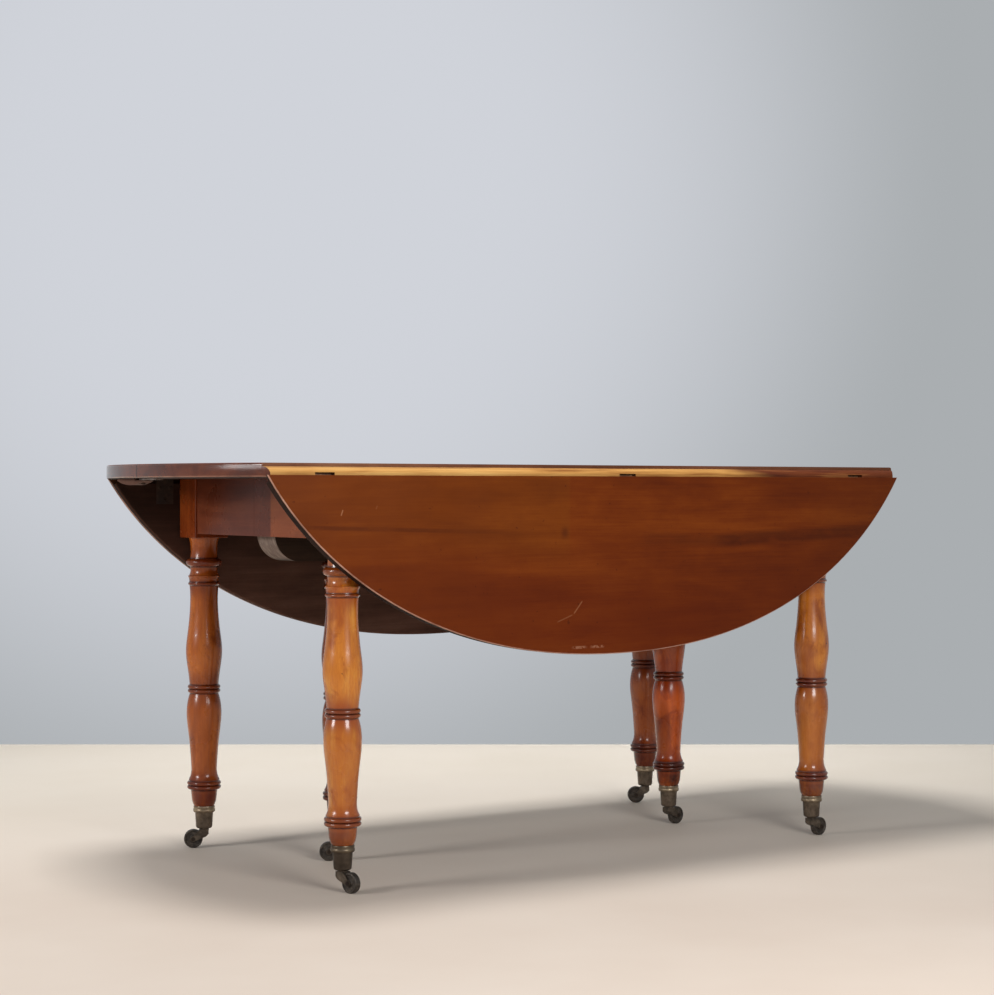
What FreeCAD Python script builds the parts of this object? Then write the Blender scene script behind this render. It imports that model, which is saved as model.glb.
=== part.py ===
import FreeCAD, Part
import math
import os
import Sketcher

# Oval drop-leaf extending dining table on six turned legs with brass cup casters.
# Millimetres. X runs along the table, parallel to the leaf hinges, Y across it and Z up.
# The origin is on the floor under the middle of the table. "Near" is the -Y half, "left" is -X.
# The top is split along Y = 0. Each half slides out along Y and carries one drop leaf,
# and every piece is placed as it stands when the table is closed and both leaves hang.

DIMENSIONS = [
    # the top, its oval outline and the leaves' rule joints
    ("table_height", 740, "floor to top surface"),
    ("oval_half_length", 801, "half the oval along X"),
    ("oval_half_width", 643, "half the oval along Y, leaves raised"),
    ("oval_fullness", 2.16, "exponent of the oval, 2 is an ellipse"),
    ("top_thickness", 25, "top and leaves"),
    ("rim_round", 3.5, "rounding of the rim's arrises"),
    ("split_gap", 0.5, "between the two half tops"),
    ("hinge_line", 315.5, "rule joint and hinge pins from the middle"),
    ("joint_step", 6, "square step at the top of the rule joint"),
    ("pivot_rise", 5, "hinge pins above the underside"),
    ("joint_gap", 0.6, "between leaf and top in the rule joint"),
    ("leaf_to_leg", 2, "hanging leaf to the leg blocks"),
    # the hinges of the leaves
    ("outer_hinge_offset", 65.5, "outer hinges beyond the corner leg centres"),
    ("middle_hinge_shift", 35, "middle hinge off the middle"),
    ("hinge_width", 36, "hinge along its pin"),
    ("flap_thickness", 2, "hinge plate"),
    ("top_flap_length", 38, "hinge plate under the top, from the pin"),
    ("leaf_flap_length", 53, "hinge plate under the leaf, from the pin"),
    ("knuckle_radius", 3.4, "hinge barrel"),
    ("knuckle_room", 0.8, "mortise around the barrel"),
    ("flap_neck", 6.5, "plates cut back this far from the pin beside the other's barrel"),
    ("hinge_play", 0.4, "between barrels end to end"),
    ("pin_radius", 1.5, "hinge pin"),
    ("running_clearance", 0.05, "radial clearance of pins, spindles and axles"),
    # the frames of the two halves
    ("corner_leg_set_back", 262.5, "corner leg centres from the oval's ends"),
    ("leg_stock", 70, "square of the corner leg blocks"),
    ("block_drop", 8, "leg blocks below the aprons"),
    ("block_ease", 1.2, "worn rounding of the leg blocks' edges"),
    ("apron_height", 105, "all aprons"),
    ("apron_thickness", 22, "all aprons"),
    ("apron_set_back", 4, "apron face behind the block face"),
    ("tenon_length", 20, "apron tenons"),
    ("tenon_thickness", 9, "apron tenons"),
    ("tenon_shoulder", 14, "apron left above and below its tenon"),
    ("screw_radius", 2.2, "wood screw shank"),
    ("screw_head_radius", 4.2, "wood screw head"),
    ("screw_head_thickness", 3, "wood screw head"),
    ("screw_bite", 13, "screw point above the top's underside"),
    ("screw_ledge", 26, "wood between screw head and the top"),
    ("pocket_depth", 12, "screw pocket into the apron's inner face"),
    ("pocket_width", 16, "screw pocket along the apron"),
    ("pocket_height", 30, "screw pocket below its ledge"),
    ("side_screw_offset", 100, "outer screws of a side apron from the leaf supports"),
    ("end_screw_offset", 120, "end apron screw from the split"),
    # the pull-out leaf supports
    ("loper_offset", 108.5, "leaf supports from the corner leg centres"),
    ("loper_width", 44, "leaf support"),
    ("loper_depth", 24, "leaf support"),
    ("loper_length", 254, "leaf support"),
    ("loper_play", 0.5, "around the leaf support"),
    ("keeper_wall", 15, "keeper beside the leaf support"),
    ("keeper_floor", 9, "keeper below the leaf support"),
    ("keeper_length", 24, "keeper along the leaf support"),
    ("keeper_from_end", 20, "keeper from the support's inner end"),
    # the centre beam and the telescoping slides
    ("beam_clearance", 2, "centre beam's ends to the end aprons"),
    ("beam_width", 70, "centre beam along Y"),
    ("beam_height", 76.5, "centre beam"),
    ("beam_end_round", 52, "rounded lower corner of the beam's ends"),
    ("slide_height", 73, "slide bearers on the beam"),
    ("slide_head_room", 2, "slides below the top's underside"),
    ("slide_offset", 90, "middle of each slide set from the centre legs"),
    ("slide_end_clearance", 4.5, "slide bars' ends to the side aprons"),
    ("bearer_thickness", 26, "fixed slide bar"),
    ("slide_thickness", 24, "moving slide bars"),
    ("slide_gap", 0.5, "between slide bars, all round"),
    ("slide_floor_gap", 1, "moving slide bars above the beam"),
    ("tongue_depth", 7, "dovetail tongue"),
    ("tongue_root", 5, "half height of the tongue where it leaves the bar"),
    ("tongue_tip", 8, "half height of the tongue at its tip"),
    # the pegs and latches that level the two half tops
    ("peg_set_back", 191, "outer alignment pegs from the oval's ends"),
    ("peg_radius", 5, "alignment peg"),
    ("peg_length", 50, "alignment peg, half of it in each top"),
    ("peg_play", 0.4, "around and beyond the peg in the far top"),
    ("cleat_set_back", 33, "middle of the latch cleats from the oval's ends"),
    ("cleat_start", 25, "cleat's end from the split"),
    ("cleat_length", 110, "latch cleat along Y"),
    ("cleat_width", 22, "latch cleat along X"),
    ("cleat_end_depth", 4, "latch cleat at its ends"),
    ("cleat_bow_radius", 193, "curved underside of the cleat"),
    ("latch_pivot", 45, "latch screw from the split"),
    ("latch_overreach", 25, "latch tip past the split"),
    ("latch_swing_room", 4, "cleat cut back beyond the latch's eye"),
    ("latch_width", 14, "latch tongue"),
    ("latch_thickness", 2.5, "latch tongue"),
    ("latch_play", 0.5, "above and below the latch tongue"),
    ("latch_screw_bite", 12, "latch screw point above the underside"),
    # the turned legs
    ("centre_leg_offset", 148.5, "centre legs from the corner legs along X"),
    ("dowel_radius", 15, "round tenon of a centre leg"),
    ("dowel_length", 45, "round tenon of a centre leg"),
    ("spigot_foot_rise", 2.5, "leg's lower end above the cup's floor"),
    ("spigot_low_radius", 13.6, "leg inside the cup, lower end"),
    ("spigot_top_radius", 15.4, "leg inside the cup, upper end"),
    ("shoulder_radius", 19, "leg inside the cup's collar"),
    ("foot_hollow_radius", 21.3, "leg just above the cup"),
    ("foot_hollow_rise", 4, "that hollow above the cup's lip"),
    ("foot_radius", 23.2, "foot bulb above the cup"),
    ("foot_rise", 10, "foot bulb above the cup's lip"),
    ("foot_top_radius", 25.6, "foot bulb where it meets the lower double ring"),
    ("lower_ring_height", 122.5, "groove of the lower double ring above the floor"),
    ("middle_ring_height", 309.2, "groove of the middle double ring above the floor"),
    ("lower_ring_radius", 32.6, "beads of the lower double ring"),
    ("middle_ring_radius", 31.4, "beads of the middle double ring"),
    ("bead_height", 7.8, "one bead of a double ring"),
    ("bead_depth", 2.8, "bead beyond its groove"),
    ("ring_slope", 1.5, "height of the slopes into the double rings"),
    ("cove_radius", 29.5, "lower vase where it starts above its ring"),
    ("cove_slope", 3, "height of the slope from the ring to the lower vase"),
    ("cove_foot_radius", 26.2, "lower vase part of the way to its slimmest"),
    ("slim_radius", 25.1, "lower vase at its slimmest"),
    ("slim_rise", 41, "slimmest place above the lower ring"),
    ("lower_belly_radius", 33.6, "lower vase at its fullest"),
    ("lower_belly_drop", 48, "fullest place below the middle ring"),
    ("waist_radius", 27.8, "vases where they meet the middle ring"),
    ("upper_belly_radius", 34.9, "upper vase at its fullest"),
    ("upper_belly_rise", 72, "fullest place above the middle ring"),
    ("shaft_radius", 27.4, "upper vase at its slim top"),
    ("shaft_drop", 52, "slim top below the collar"),
    ("shaft_top_radius", 27.8, "upper vase just below the collar"),
    ("shaft_top_drop", 4, "upper vase's end below the collar"),
    ("collar_drop", 50.5, "thin collar below the beam's underside"),
    ("collar_radius", 30.6, "thin collar"),
    ("collar_height", 5.6, "thin collar"),
    ("collar_depth", 1.8, "thin collar beyond its groove"),
    ("flare_rise", 14, "flared lip above the thin collar"),
    ("flare_hollow_rise", 7, "hollow above the thin collar"),
    ("flare_hollow_radius", 28.3, "hollow between collar and flared lip"),
    ("flare_edge", 1.4, "straight edge of the flared lip"),
    ("flare_bevel", 0.8, "bevel above the flared lip"),
    ("neck_rise", 10, "slim neck above the flared lip"),
    ("neck_radius", 26.2, "slim neck"),
    ("neck_fillet", 1.2, "necks widen by this at the large ring"),
    ("upper_neck_radius", 25.7, "neck between the large ring and the block"),
    ("block_neck_radius", 29.4, "neck where it meets the square block"),
    ("block_entry", 5, "turned neck let into the square block"),
    ("neck_ring_drop", 9.5, "large ring below the beam's underside"),
    ("neck_ring_radius", 34.3, "large ring"),
    ("neck_ring_height", 15, "large ring"),
    # the casters
    ("cup_clearance", 2.5, "cup above the top of the wheel"),
    ("cup_floor_thickness", 8, "floor of the cup"),
    ("cup_wall", 2.2, "cup's wall around the leg"),
    ("cup_chamfer", 2.5, "chamfer of the cup's base"),
    ("cup_wall_height", 31.5, "cup collar above the cup's bottom"),
    ("cup_collar_height", 12, "cup collar"),
    ("cup_collar_wall", 1, "cup collar at its lip"),
    ("cup_bead_height", 7, "lower bead of the cup collar"),
    ("cup_bead_round", 5.7, "rounding radius of that bead"),
    ("cup_lip_round", 6.5, "rounding radius of the collar above it"),
    ("cup_ledge_rise", 1, "leg's seat above the collar's lower edge"),
    ("spindle_radius", 4, "swivel spindle"),
    ("spindle_head_radius", 6.5, "riveted head of the spindle"),
    ("spindle_head_thickness", 1.6, "riveted head of the spindle"),
    ("swivel_gap", 0.5, "between fork and cup, and under the riveted head"),
    ("fork_crown_radius", 9.2, "round crown of the fork"),
    ("fork_crown_height", 4.5, "round crown of the fork"),
    ("fork_cheek_reach", 8.5, "cheeks before and behind the swivel"),
    ("fork_cheek_drop", 2, "cheeks below the crown's top"),
    ("fork_cheek_thickness", 2.8, "each cheek beside the wheel"),
    ("fork_heel", 16, "cheeks' heel below the cup"),
    ("fork_heel_reach", 3.7, "heel's flat from the swivel"),
    ("fork_heel_bevel", 4.5, "sloping corner of the heel"),
    ("fork_arm_half", 5.3, "half the cheek's height at the axle"),
    ("fork_boss_radius", 5.6, "cheek around the axle"),
    ("wheel_radius", 18, "wheel"),
    ("wheel_width", 12, "wheel"),
    ("wheel_room", 0.8, "between wheel tread and fork"),
    ("wheel_side_gap", 0.4, "between wheel side and cheek"),
    ("wheel_edge", 2.2, "rounded edge of the tread"),
    ("wheel_dish", 1.6, "depth of the dished wheel side"),
    ("wheel_hub_radius", 6, "hub of the wheel"),
    ("wheel_rim_radius", 13.5, "dished side ends here"),
    ("axle_radius", 2.5, "wheel axle"),
    ("axle_head_radius", 3.8, "riveted heads of the axle"),
    ("axle_head_thickness", 1.1, "riveted heads of the axle"),
    ("caster_trail", 20.7, "axle behind the swivel"),
]

# How far a cutting tool or blank runs past what it cuts.
OVERRUN = 20

# Share of a radius along each axis at 45 degrees.
DIAGONAL = math.sqrt(0.5)

# Points that define the oval's curve, and the distance within which two points are one.
OVAL_POINTS = 48
TOUCHING = 1e-6

# Where the turned curves pass between two of their places, as shares of the way.
COVE_SHARE = 0.45
SWELL_SHARE = 0.45
UPPER_SWELL_SHARE = 0.4
UPPER_SWELL_RISE_SHARE = 0.47
SHAFT_SHARE = 0.5
BLOCK_NECK_SLIM_SHARE = 0.36
BLOCK_NECK_FLARE_SHARE = 0.8

# The swivel headings, in degrees from +X, that the casters were left at.
HEADINGS = {
    "near_left": -75,
    "near_right": 6,
    "far_left": 153,
    "far_right": 150,
    "left_centre": 150,
    "right_centre": 8,
}

doc = FreeCAD.newDocument("drop_leaf_table")
sheet = doc.addObject("Spreadsheet::Sheet", "Sizes")
for row, (alias, number, note) in enumerate(DIMENSIONS, start=1):
    sheet.set("A%d" % row, note)
    sheet.set("B%d" % row, str(number))
    sheet.setAlias("B%d" % row, alias)
doc.recompute()

Vector = FreeCAD.Vector
X_AXIS = Vector(1, 0, 0)
Y_AXIS = Vector(0, 1, 0)
Z_AXIS = Vector(0, 0, 1)
NEAR = -1
FAR = 1
LEFT = -1
RIGHT = 1
parts = []


class Size:
    """A length with its number and the expression that ties it to the sheet."""

    def __init__(self, number, text):
        self.number = number
        self.text = text

    def __add__(self, other):
        other = as_size(other)
        return Size(self.number + other.number, "(%s + %s)" % (self.text, other.text))

    def __sub__(self, other):
        other = as_size(other)
        return Size(self.number - other.number, "(%s - %s)" % (self.text, other.text))

    def __rsub__(self, other):
        return as_size(other) - self

    def __mul__(self, factor):
        return Size(self.number * factor, "(%s * %.10g)" % (self.text, factor))

    def __truediv__(self, divisor):
        return self * (1.0 / divisor)

    def __neg__(self):
        return self * -1

    __radd__ = __add__
    __rmul__ = __mul__


def as_size(value):
    """A plain number as a Size."""
    return value if isinstance(value, Size) else Size(float(value), "%.10g" % value)


def size(alias):
    """A driving dimension of the sheet."""
    return Size(float(sheet.get(alias)), "Sizes.%s" % alias)


def point(x, y, z):
    """A vector from three sizes or numbers."""
    return Vector(as_size(x).number, as_size(y).number, as_size(z).number)


def bind(obj, prop, value):
    """Tie one property to the sheet."""
    obj.setExpression(prop, as_size(value).text)


def place(obj, base, axis=Z_AXIS, angle=0):
    """Turn an object about an axis through its origin, then move it to base."""
    obj.Placement = FreeCAD.Placement(point(*base), FreeCAD.Rotation(axis, angle))
    for letter, value in zip("xyz", base):
        bind(obj, "Placement.Base.%s" % letter, value)
    return obj


def box(name, low, high):
    """A box between two corners, in any order along each axis."""
    obj = doc.addObject("Part::Box", name)
    base = []
    for prop, a, b in zip(("Length", "Width", "Height"), low, high):
        a, b = sorted((as_size(a), as_size(b)), key=lambda value: value.number)
        bind(obj, prop, b - a)
        base.append(a)
    return place(obj, base)


def cylinder(name, radius, base, length, axis=Z_AXIS):
    """A cylinder from its base centre along an axis."""
    obj = doc.addObject("Part::Cylinder", name)
    bind(obj, "Radius", radius)
    bind(obj, "Height", length)
    turn = FreeCAD.Rotation(Z_AXIS, axis)
    return place(obj, base, turn.Axis, math.degrees(turn.Angle))


def compound(name, pieces):
    obj = doc.addObject("Part::Compound", name)
    obj.Links = pieces
    return obj


def fuse(name, pieces):
    obj = doc.addObject("Part::MultiFuse", name)
    obj.Shapes = pieces
    return obj


def cut(name, base, tools):
    obj = doc.addObject("Part::Cut", name)
    obj.Base = base
    obj.Tool = tools[0] if len(tools) == 1 else compound(name + "_tools", tools)
    return obj


def common(name, first, second):
    obj = doc.addObject("Part::MultiCommon", name)
    obj.Shapes = [first, second]
    return obj


def subpart(obj, name):
    """Mark an object as a piece of the table."""
    obj.Label = name
    parts.append(obj)
    return obj


def arc_between(start, end, radius):
    """A short circular arc that bulges to the right of the way from start to end."""
    chord = end - start
    half = chord.Length / 2
    right = Vector(chord.y, -chord.x, 0).normalize()
    to_centre = math.sqrt(radius ** 2 - half ** 2)
    middle = (start + end) / 2 + right * (radius - to_centre)
    return Part.Arc(start, middle, end)


def sketch_ends(edge, start):
    """The sketch's point numbers of an edge's two ends, the end at start first."""
    swapped = isinstance(edge, Part.ArcOfCircle) and edge.StartPoint.distanceToPoint(start) > TOUCHING
    return (2, 1) if swapped else (1, 2)


def add_outline(body, plane, outline):
    """A closed sketch. Each corner is (across, up) or (across, up, radius of the arc that follows)."""
    sketch = body.newObject("Sketcher::SketchObject", body.Name + "_sketch")
    origin_plane = [item for item in body.Origin.OriginFeatures if item.Role == plane][0]
    sketch.AttachmentSupport = [(origin_plane, "")]
    sketch.MapMode = "FlatFace"
    corners = [point(corner[0], corner[1], 0) for corner in outline]
    for index, corner in enumerate(outline):
        start = corners[index]
        end = corners[(index + 1) % len(corners)]
        if len(corner) == 3:
            sketch.addGeometry(arc_between(start, end, as_size(corner[2]).number), False)
        else:
            sketch.addGeometry(Part.LineSegment(start, end), False)
    ends = [sketch_ends(edge, corner) for edge, corner in zip(sketch.Geometry, corners)]
    for index, corner in enumerate(outline):
        first, last = ends[index]
        following = (index + 1) % len(outline)
        sketch.addConstraint(Sketcher.Constraint("Coincident", index, last, following, ends[following][0]))
        for kind, axis_line, value in (("DistanceX", -2, corner[0]), ("DistanceY", -1, corner[1])):
            value = as_size(value)
            if abs(value.number) < TOUCHING:
                sketch.addConstraint(Sketcher.Constraint("PointOnObject", index, first, axis_line))
                continue
            number = sketch.addConstraint(Sketcher.Constraint(kind, -1, 1, index, first, value.number))
            sketch.setExpression("Constraints[%d]" % number, value.text)
        if len(corner) == 3:
            radius = as_size(corner[2])
            number = sketch.addConstraint(Sketcher.Constraint("Radius", index, radius.number))
            sketch.setExpression("Constraints[%d]" % number, radius.text)
    return sketch


def walked_back(outline):
    """The same outline walked the other way round, its arcs kept between the same corners."""
    corners = [corner[:2] for corner in outline]
    radii = [corner[2:] for corner in outline]
    return [corners[index] + radii[index - 1] for index in range(len(corners) - 1, -1, -1)]


def padded(name, plane, outline, length):
    """A body padded both ways from one of its origin planes."""
    body = doc.addObject("PartDesign::Body", name)
    pad = body.newObject("PartDesign::Pad", name + "_pad")
    pad.Profile = add_outline(body, plane, outline)
    pad.SideType = "Symmetric"
    bind(pad, "Length", length)
    body.Tip = pad
    return body


def turned(name, plane, outline):
    """A body revolved about its sketch's vertical axis."""
    body = doc.addObject("PartDesign::Body", name)
    sketch = add_outline(body, plane, outline)
    revolution = body.newObject("PartDesign::Revolution", name + "_turning")
    revolution.Profile = sketch
    revolution.ReferenceAxis = (sketch, ["V_Axis"])
    revolution.Angle = 360
    body.Tip = revolution
    return body


# Places that several pieces share. A reach is measured from the middle of the table along X.
corner_leg_reach = size("oval_half_length") - size("corner_leg_set_back")
centre_leg_reach = corner_leg_reach - size("centre_leg_offset")
hinge_reach = corner_leg_reach + size("outer_hinge_offset")
loper_reach = corner_leg_reach - size("loper_offset")
side_screw_reach = loper_reach - size("side_screw_offset")
slide_reach = centre_leg_reach - size("slide_offset")
peg_reach = size("oval_half_length") - size("peg_set_back")
cleat_reach = size("oval_half_length") - size("cleat_set_back")
underside = size("table_height") - size("top_thickness")
pivot_height = underside + size("pivot_rise")
ovolo_radius = size("top_thickness") - size("joint_step") - size("pivot_rise")
half_split = size("split_gap") / 2
half_stock = size("leg_stock") / 2
corner_leg_out = size("hinge_line") - size("pivot_rise") - size("leaf_to_leg") - half_stock
apron_face_offset = half_stock - size("apron_set_back")
side_apron_face = corner_leg_out + apron_face_offset
side_apron_back = side_apron_face - size("apron_thickness")
end_apron_face = corner_leg_reach + apron_face_offset
end_apron_back = end_apron_face - size("apron_thickness")
apron_bottom = underside - size("apron_height")
block_bottom = apron_bottom - size("block_drop")
beam_top = underside - size("slide_head_room") - size("slide_height")
beam_bottom = beam_top - size("beam_height")
slide_top = underside - size("slide_head_room")
slide_bottom = beam_top + size("slide_floor_gap")
slide_length = (side_apron_back - size("slide_end_clearance")) * 2
tongue_middle = beam_top + size("slide_height") / 2
# half height that a groove has beyond its tongue, which keeps their slopes a slide gap apart
groove_ease = size("slide_gap") * 1.5
cup_bottom = size("wheel_radius") * 2 + size("cup_clearance")
cup_floor = cup_bottom + size("cup_floor_thickness")
spigot_foot = cup_floor + size("spigot_foot_rise")
collar_bottom = cup_bottom + size("cup_wall_height")
fork_width = size("wheel_width") + (size("wheel_side_gap") + size("fork_cheek_thickness")) * 2
blank_length = (size("oval_half_length") + OVERRUN) * 2
hinge_places = (-hinge_reach, size("middle_hinge_shift"), hinge_reach)
peg_height = underside + size("top_thickness") / 2
peg_places = (-peg_reach, as_size(0), peg_reach)


# --- the oval top ------------------------------------------------------------------------------

def oval_outline():
    """The oval's outline at the underside, a smooth curve through points of its formula."""
    half_length = size("oval_half_length").number
    half_width = size("oval_half_width").number
    power = 2 / size("oval_fullness").number
    points = []
    for step in range(OVAL_POINTS):
        angle = 2 * math.pi * step / OVAL_POINTS
        x = math.copysign(half_length * abs(math.cos(angle)) ** power, math.cos(angle))
        y = math.copysign(half_width * abs(math.sin(angle)) ** power, math.sin(angle))
        points.append(Vector(x, y, underside.number))
    curve = Part.BSplineCurve()
    curve.interpolate(Points=points, PeriodicFlag=True)
    return Part.Face(Part.Wire([curve.toShape()]))


def rounded_oval():
    """The whole oval board with rounded arrises, from which top and leaves are cut."""
    outline = doc.addObject("Part::Feature", "oval_outline")
    outline.Shape = oval_outline()
    board = doc.addObject("Part::Extrusion", "oval_board")
    board.Base = outline
    board.DirMode = "Custom"
    board.Dir = Z_AXIS
    board.Solid = True
    bind(board, "LengthFwd", size("top_thickness"))
    doc.recompute()
    rounded = doc.addObject("Part::Fillet", "rounded_oval_board")
    rounded.Base = board
    radius = size("rim_round").number
    rims = [index for index, edge in enumerate(board.Shape.Edges, start=1)
            if edge.BoundBox.ZLength < radius]
    rounded.Edges = [(index, radius, radius) for index in rims]
    return rounded


def leg_of(hypotenuse, other):
    """The remaining leg of a right-angled triangle."""
    return Size(math.sqrt(hypotenuse.number ** 2 - other.number ** 2),
                "sqrt((%s) ^ 2 - (%s) ^ 2)" % (hypotenuse.text, other.text))


def half_top_blank(name, side):
    """A half top's section, flat with the rule joint's step and round, padded along the table."""
    line = size("hinge_line")
    outline = [
        (half_split * side, underside),
        ((line + leg_of(ovolo_radius, size("pivot_rise"))) * side, underside, ovolo_radius),
        ((line + ovolo_radius * DIAGONAL) * side, pivot_height + ovolo_radius * DIAGONAL, ovolo_radius),
        (line * side, pivot_height + ovolo_radius),
        (line * side, size("table_height")),
        (half_split * side, size("table_height")),
    ]
    # the round of the joint bulges outwards on either side
    return padded(name, "YZ_Plane", outline if side == FAR else walked_back(outline), blank_length)


def half_top(side, side_name, oval):
    """One half top with its hinge mortises, peg holes and screw holes."""
    blank = half_top_blank(side_name + "_top_section", side)
    board = common(side_name + "_top_board", oval, blank)
    tools = []
    for number, middle in enumerate(hinge_places):
        reach = size("hinge_width") / 2
        mortise_reach = reach + size("knuckle_room")
        mortise_back = (size("hinge_line") - size("flap_neck")) * side
        tools.append(box("%s_mortise_%d" % (side_name, number),
                         (middle - mortise_reach, mortise_back, underside),
                         (middle + mortise_reach, (size("hinge_line") + ovolo_radius + OVERRUN) * side,
                          pivot_height + size("knuckle_radius") + size("knuckle_room"))))
        tools.append(box("%s_flap_seat_%d" % (side_name, number),
                         (middle - reach, (size("hinge_line") - size("top_flap_length")) * side, underside),
                         (middle + reach, mortise_back, underside + size("flap_thickness"))))
    hole_radius = size("peg_radius") if side == NEAR else size("peg_radius") + size("peg_play")
    hole_depth = size("peg_length") / 2 + (0 if side == NEAR else size("peg_play"))
    for number, middle in enumerate(peg_places):
        tools.append(cylinder("%s_peg_hole_%d" % (side_name, number), hole_radius,
                              (middle, 0, peg_height), hole_depth, Y_AXIS * side))
    for number, (x, y) in enumerate(screw_places(side)):
        tools.append(cylinder("%s_top_screw_hole_%d" % (side_name, number), size("screw_radius"),
                              (x, y, underside), size("screw_bite")))
    if side == FAR:
        for end in (LEFT, RIGHT):
            tools.append(cylinder("latch_screw_hole_%d" % end, size("screw_radius"),
                                  (cleat_reach * end, size("latch_pivot"), underside),
                                  size("latch_screw_bite")))
    return subpart(cut(side_name + "_top_cut", board, tools), side_name + "_top")


def joint_pegs():
    """Wooden pegs glued into the near top's edge, which enter the far top."""
    pegs = [cylinder("joint_peg_%d" % number, size("peg_radius"),
                     (middle, -size("peg_length") / 2, peg_height), size("peg_length"), Y_AXIS)
            for number, middle in enumerate(peg_places)]
    subpart(compound("peg_group", pegs), "joint_pegs")


# --- the leaves and their hinges, drawn raised and then hung ------------------------------------

def hang(obj, side):
    """Turn a raised leaf or its fittings down about the hinge pins."""
    return place(obj, (0, (size("hinge_line") - pivot_height) * side, pivot_height + size("hinge_line")),
                 X_AXIS, -90 * side)


def leaf(side, side_name, oval):
    """A drop leaf: the oval beyond the hinge line, hollowed to ride round the top's edge."""
    line = size("hinge_line")
    cove_radius = ovolo_radius + size("joint_gap")
    lip = line + size("joint_gap")
    beyond = size("oval_half_width") + OVERRUN
    outline = [
        (lip * side, pivot_height + leg_of(cove_radius, size("joint_gap")), cove_radius),
        ((line + cove_radius * DIAGONAL) * side, pivot_height + cove_radius * DIAGONAL, cove_radius),
        ((line + leg_of(cove_radius, size("pivot_rise"))) * side, underside),
        (beyond * side, underside),
        (beyond * side, size("table_height")),
        (lip * side, size("table_height")),
    ]
    # the hollow bulges into the leaf on either side
    blank = padded(side_name + "_leaf_section", "YZ_Plane",
                   outline if side == NEAR else walked_back(outline), blank_length)
    board = common(side_name + "_leaf_board", oval, blank)
    half_width = size("hinge_width") / 2
    seats = [box("%s_leaf_flap_seat_%d" % (side_name, number),
                 (middle - half_width, line * side, underside),
                 (middle + half_width, (line + size("leaf_flap_length")) * side,
                  underside + size("flap_thickness")))
             for number, middle in enumerate(hinge_places)]
    hung = cut(side_name + "_leaf_cut", board, seats)
    subpart(hang(hung, side), side_name + "_leaf")


def hinge_barrel(name, start, length, side, bore):
    """A piece of hinge barrel along X with its bore."""
    centre = size("hinge_line") * side
    barrel = cylinder(name, size("knuckle_radius"), (start, centre, pivot_height), length, X_AXIS)
    hole = cylinder(name + "_bore", bore, (start, centre, pivot_height), length, X_AXIS)
    return barrel, hole


def hinges(side, side_name):
    """Three table hinges on one joint: top flaps, leaf flaps and pins."""
    third = size("hinge_width") / 3
    line = size("hinge_line")
    plate_top = underside + size("flap_thickness")
    top_flaps = []
    leaf_flaps = []
    pins = []
    for number, middle in enumerate(hinge_places):
        tag = "%s_hinge_%d" % (side_name, number)
        left_end = middle - size("hinge_width") / 2
        right_end = middle + size("hinge_width") / 2
        inner_left = left_end + third + size("hinge_play")
        inner_right = right_end - third - size("hinge_play")
        plate = box(tag + "_top_plate", (left_end, (line - size("top_flap_length")) * side, underside),
                    (right_end, (line - size("flap_neck")) * side, plate_top))
        neck = box(tag + "_top_neck", (inner_left, (line - size("flap_neck")) * side, underside),
                   (inner_right, line * side, plate_top))
        barrel, hole = hinge_barrel(tag + "_top_barrel", inner_left, inner_right - inner_left, side,
                                    size("pin_radius") + size("running_clearance"))
        top_flaps.append(cut(tag + "_top_flap", fuse(tag + "_top_body", [plate, neck, barrel]), [hole]))
        pieces = [box(tag + "_leaf_plate", (left_end, (line + size("flap_neck")) * side, underside),
                      (right_end, (line + size("leaf_flap_length")) * side, plate_top))]
        holes = []
        for end, start in (("left", left_end), ("right", right_end - third)):
            pieces.append(box("%s_leaf_neck_%s" % (tag, end), (start, line * side, underside),
                              (start + third, (line + size("flap_neck")) * side, plate_top)))
            barrel, hole = hinge_barrel("%s_leaf_barrel_%s" % (tag, end), start, third, side,
                                        size("pin_radius"))
            pieces.append(barrel)
            holes.append(hole)
        leaf_flaps.append(cut(tag + "_leaf_flap", fuse(tag + "_leaf_body", pieces), holes))
        pins.append(cylinder(tag + "_pin", size("pin_radius"), (left_end, line * side, pivot_height),
                             size("hinge_width"), X_AXIS))
    subpart(compound(side_name + "_top_flap_group", top_flaps), side_name + "_top_hinge_flaps")
    subpart(hang(compound(side_name + "_leaf_flap_group", leaf_flaps), side), side_name + "_leaf_hinge_flaps")
    subpart(compound(side_name + "_pin_group", pins), side_name + "_hinge_pins")


# --- the frames of the two halves ---------------------------------------------------------------

def screw_places(side):
    """Where screws go up through the aprons into a half top, as (x, y)."""
    screw_inset = size("pocket_depth") / 2
    side_y = (side_apron_back + screw_inset) * side
    places = [(x, side_y) for x in (-side_screw_reach, as_size(0), side_screw_reach)]
    for end in (LEFT, RIGHT):
        places.append(((end_apron_back + screw_inset) * end, size("end_screw_offset") * side))
    return places


def screw_pocket(tag, x, y, inward):
    """Pocket and hole for one apron screw. inward points from the screw to the apron's inner face."""
    ledge = underside - size("screw_ledge")
    half_width = size("pocket_width") / 2
    depth = size("pocket_depth")
    if inward[0]:
        low = (x - depth / 2 * inward[0], y - half_width, ledge - size("pocket_height"))
        high = (x + depth / 2 * inward[0], y + half_width, ledge)
    else:
        low = (x - half_width, y - depth / 2 * inward[1], ledge - size("pocket_height"))
        high = (x + half_width, y + depth / 2 * inward[1], ledge)
    return [box(tag + "_pocket", low, high),
            cylinder(tag + "_hole", size("screw_radius"), (x, y, ledge), size("screw_ledge"))]


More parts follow.
